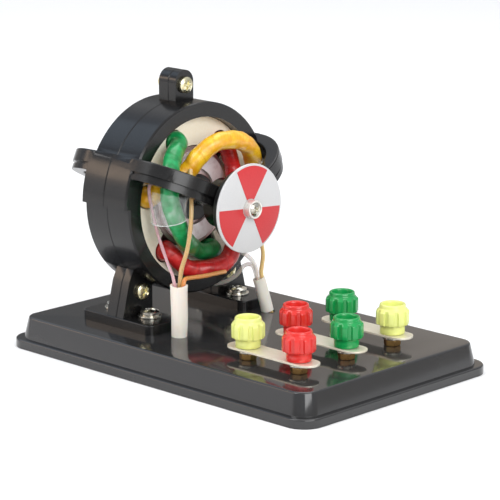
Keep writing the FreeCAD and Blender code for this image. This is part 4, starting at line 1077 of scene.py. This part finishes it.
routes = {
    "lead_pink": [(-31.3, -30.1, 88.0), (-30.0, -33.8, 88.5), (-29.3, -35.4, 83.0), (-29.2, -33.0, 73.0),
                  (-28.6, -30.6, 62.5), (-25.5, -30.8, 56.5), (-19.5, -32.2, 48.5), (-13.4, -33.4, 41.5)]
    + through_upright(254)
    + below((-2, -39.5), (9, -44), (20, -46.5), (33, -46), (46, -44), (54.5, -39.5), (62, -36.5)),
    "lead_amber": [(-20.4, -16.3, 92.1), (-16.8, -20.0, 88.5), (-11.6, -24.2, 77.0), (-10.2, -26.5, 66.5),
                   (-11.0, -28.0, 55.5), (-13.9, -30.9, 44.0)] + through_upright(134.3)
    + below((-6.5, -19.5), (3, -11.5), (15, -6.5), (30, -4.5)),
    "lead_orange": [(-18.0, 4.3, 39.1), (-16.0, -2.5, 40.0), (-14.5, -10.5, 40.6), (-13.2, -18.0, 41.4),
                    (-12.2, -25.0, 42.4), (-11.15, -31.6, 43.0)] + through_upright(14.4)
    + below((-1, -34.5), (9, -38), (20, -39), (30, -36.5)),
    "lead_straw": [(-19.3, 25.9, 54.6), (-17.2, 28.6, 50.0), (-16.8, 30.0, 43.5), (-17.1, 28.9, 37.0)]
    + through_tilted(240) + below((-3, 34.5), (8, 34), (19, 30), (30, 27.5)),
    "lead_clear_front": [(-19.5, 17.4, 46.2), (-17.4, 19.6, 44.4), (-17.2, 23.0, 41.0), (-17.4, 25.4, 37.0)]
    + through_tilted(120)
    + below((-4, 26), (8, 17.5), (21, 12), (35, 9.5), (48, 6.5), (57, -0.5), (62, -4.5)),
    "lead_clear_rear": [(-75.3, 11.6, 45.4), (-80.0, 12.5, 41.5), (-80.0, 15.0, 33.0), (-73.0, 16.8, 26.5),
                        (-60.0, 17.6, 24.8), (-46.0, 18.0, 25.2), (-34.0, 19.6, 27.5), (-27.5, 22.8, 32.5),
                        (-24.5, 24.0, 38.0), (-19.9, 25.8, 38.7)] + through_tilted(0)
    + below((-17, 38.5), (-9.5, 43), (3, 42.5), (17, 39.5), (31, 37), (45, 36.5), (55, 32.5), (62, 27.5)),
}
for name, route in routes.items():
    line, length = smooth_line(route, 240)
    rows = np.linspace(0, 1, len(line))[:, None]
    thickness = (0.78 if name == "lead_pink" else 1.05) + 0.03 * np.sin(40 * rows) + 0.02 * np.sin(93 * rows)
    wire = patch(swept(line, thickness, 20), caps=True)
    dressed(name, name + "_wire", [wire], lead_finish[node_slot[name]], 70)
    print(f"{name}: {length:.0f} mm long")

# %% [markdown]
# ## Solder
# Under the tray each lead ends in a bead of solder on its tag. A bead is a squashed ball with a
# slightly wavy outline, a surface of two angles.

# %% Solder beads
def bead_patch(x, y):
    """Polar angle p and turn q: a squashed ball round the tag, 2.1 mm by 1.5 by 1.2 from its middle."""
    p = np.linspace(0, math.pi, 17)[None, :]
    q = around_circle(24)
    spread = np.sin(p) * (1 + 0.08 * np.sin(3 * q + x))
    height = TAG_LEVEL - 0.1 - 1.2 * np.cos(p) + 0 * q
    points = [x + 2.1 * spread * np.cos(q), y + 1.5 * spread * np.sin(q), height]
    return patch(np.stack(points, axis=-1), wrap_rows=True, wrap_columns=False)


solder = metal("solder_tin", (196, 198, 200), (140, 140, 142), 0.22, cast_grain, 1.5)
beads = piece("solder_bead_set", [bead_patch(x - 7.0, y) for x, y in posts], solder)
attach(beads, "motor_and_tray")
print("beads:", len(posts))

# %% [markdown]
# ## Floor, light and camera
# The photograph is a bright catalogue picture: a white ground, and soft light from all sides that
# the black plastic mirrors as grey. A sky that is bright overhead and darker at the horizon gives
# the same range, and four soft patches in it are what the housing and the tray mirror towards the
# camera: blue, dark, warm and white. Wide lamps light the front and the top, and two tinted ones on
# the left draw a cool field and a warm band on the housing. The camera is long and stands far off,
# as the nearly parallel edges of the tray show.

# %% Floor and light
floor_finish = Finish("pale_floor", {"Roughness": 0.9})
floor_finish.paint({"Base Color": floor_finish.blend(
    floor_finish.grain(300, 2) * 0.3, (0.92, 0.92, 0.92, 1), (0.88, 0.88, 0.885, 1))})
far = 3000.0
floor_corners = np.array([[(-far, -far, 0), (-far, far, 0)], [(far, -far, 0), (far, far, 0)]])
floor = piece("pale_floor", [patch(floor_corners, wrap_columns=False)], floor_finish.material)

world = bpy.data.worlds.new("studio")
world.use_nodes = True
bpy.context.scene.world = world
sky = Nodes(world.node_tree)
direction = sky.node("ShaderNodeTexCoord", {}, {}, "Generated")
height = sky.node("ShaderNodeSeparateXYZ", {}, {"Vector": direction}, "Z")
glow = sky.blend(sky.step(height, 0.0, 0.3), (0.62, 0.59, 0.56, 1), (0.64, 0.67, 0.72, 1))
glow = sky.blend(sky.step(height, 0.25, 0.8), glow, (1.05, 1.06, 1.08, 1))


def towards(turn, lift, narrow):
    """1 in one direction of the sky and 0 outside a cone whose cosine is narrow."""
    turn, lift = math.radians(turn), math.radians(lift)
    aim = (math.cos(turn) * math.cos(lift), math.sin(turn) * math.cos(lift), math.sin(lift))
    nearness = sky.node("ShaderNodeVectorMath", {"operation": "DOT_PRODUCT"}, {0: direction, 1: aim}, "Value")
    return sky.step(nearness, narrow, 1.0)


for turn, lift, narrow, share, colour in (
    (196, 40, 0.80, 0.75, (0.26, 0.36, 0.54, 1)),
    (146, 12, 0.93, 0.8, (0.12, 0.12, 0.12, 1)),
    (120, 17, 0.94, 0.8, (0.84, 0.73, 0.62, 1)),
    (227, 3, 0.85, 1.0, (1.5, 1.5, 1.54, 1)),
):
    glow = sky.blend(towards(turn, lift, narrow) * share, glow, colour)
feed(sky.tree.nodes["Background"].inputs["Color"], glow)
feed(sky.tree.nodes["Background"].inputs["Strength"], 0.75)


MOTOR_MIDDLE = Vector((0, 0, 0.06))


def soft_lamp(name, place, size, power, tint=(1, 1, 1)):
    """An area lamp, wide by high, that looks at the middle of the motor. Places are in metres."""
    lamp = bpy.data.lights.new(name, "AREA")
    lamp.shape = "RECTANGLE"
    lamp.size, lamp.size_y = size
    lamp.energy = power
    lamp.color = tint
    stand = bpy.data.objects.new(name, lamp)
    stand.location = place
    stand.rotation_euler = (Vector(place) - MOTOR_MIDDLE).to_track_quat("Z", "Y").to_euler()
    bpy.context.scene.collection.objects.link(stand)


soft_lamp("key_lamp", (-0.5, -1.3, 1.5), (0.9, 0.9), 12)
soft_lamp("front_lamp", (1.5, -0.45, 0.80), (1.3, 0.9), 19)
soft_lamp("top_lamp", (-0.2, 0.5, 1.8), (1.4, 1.4), 12)
soft_lamp("cool_panel", (-1.5, -0.35, 1.3), (0.9, 0.9), 2.2, (0.72, 0.86, 1.0))
soft_lamp("warm_strip", (-1.2, -1.18, 0.60), (1.2, 0.30), 3.6, (1.0, 0.72, 0.50))

# %% Camera
azimuth, elevation = math.radians(44.29), math.radians(13.79)
flat = math.cos(elevation)
back = np.array([math.sin(azimuth) * flat, -math.cos(azimuth) * flat, math.sin(elevation)])
right = np.array([math.cos(azimuth), math.sin(azimuth), 0.0])
up = np.cross(back, right)
camera = bpy.data.objects.new("camera", bpy.data.cameras.new("camera"))
camera.data.sensor_width = 36.0
camera.data.lens = 178.63
camera.data.clip_start = 0.05
camera.data.clip_end = 20
camera_place = (0.8042, -0.8212, 0.3358)
camera.matrix_world = Matrix([*zip(right, up, back, camera_place), (0, 0, 0, 1)])
bpy.context.scene.collection.objects.link(camera)
bpy.context.scene.camera = camera
bpy.context.scene.view_settings.view_transform = "Standard"
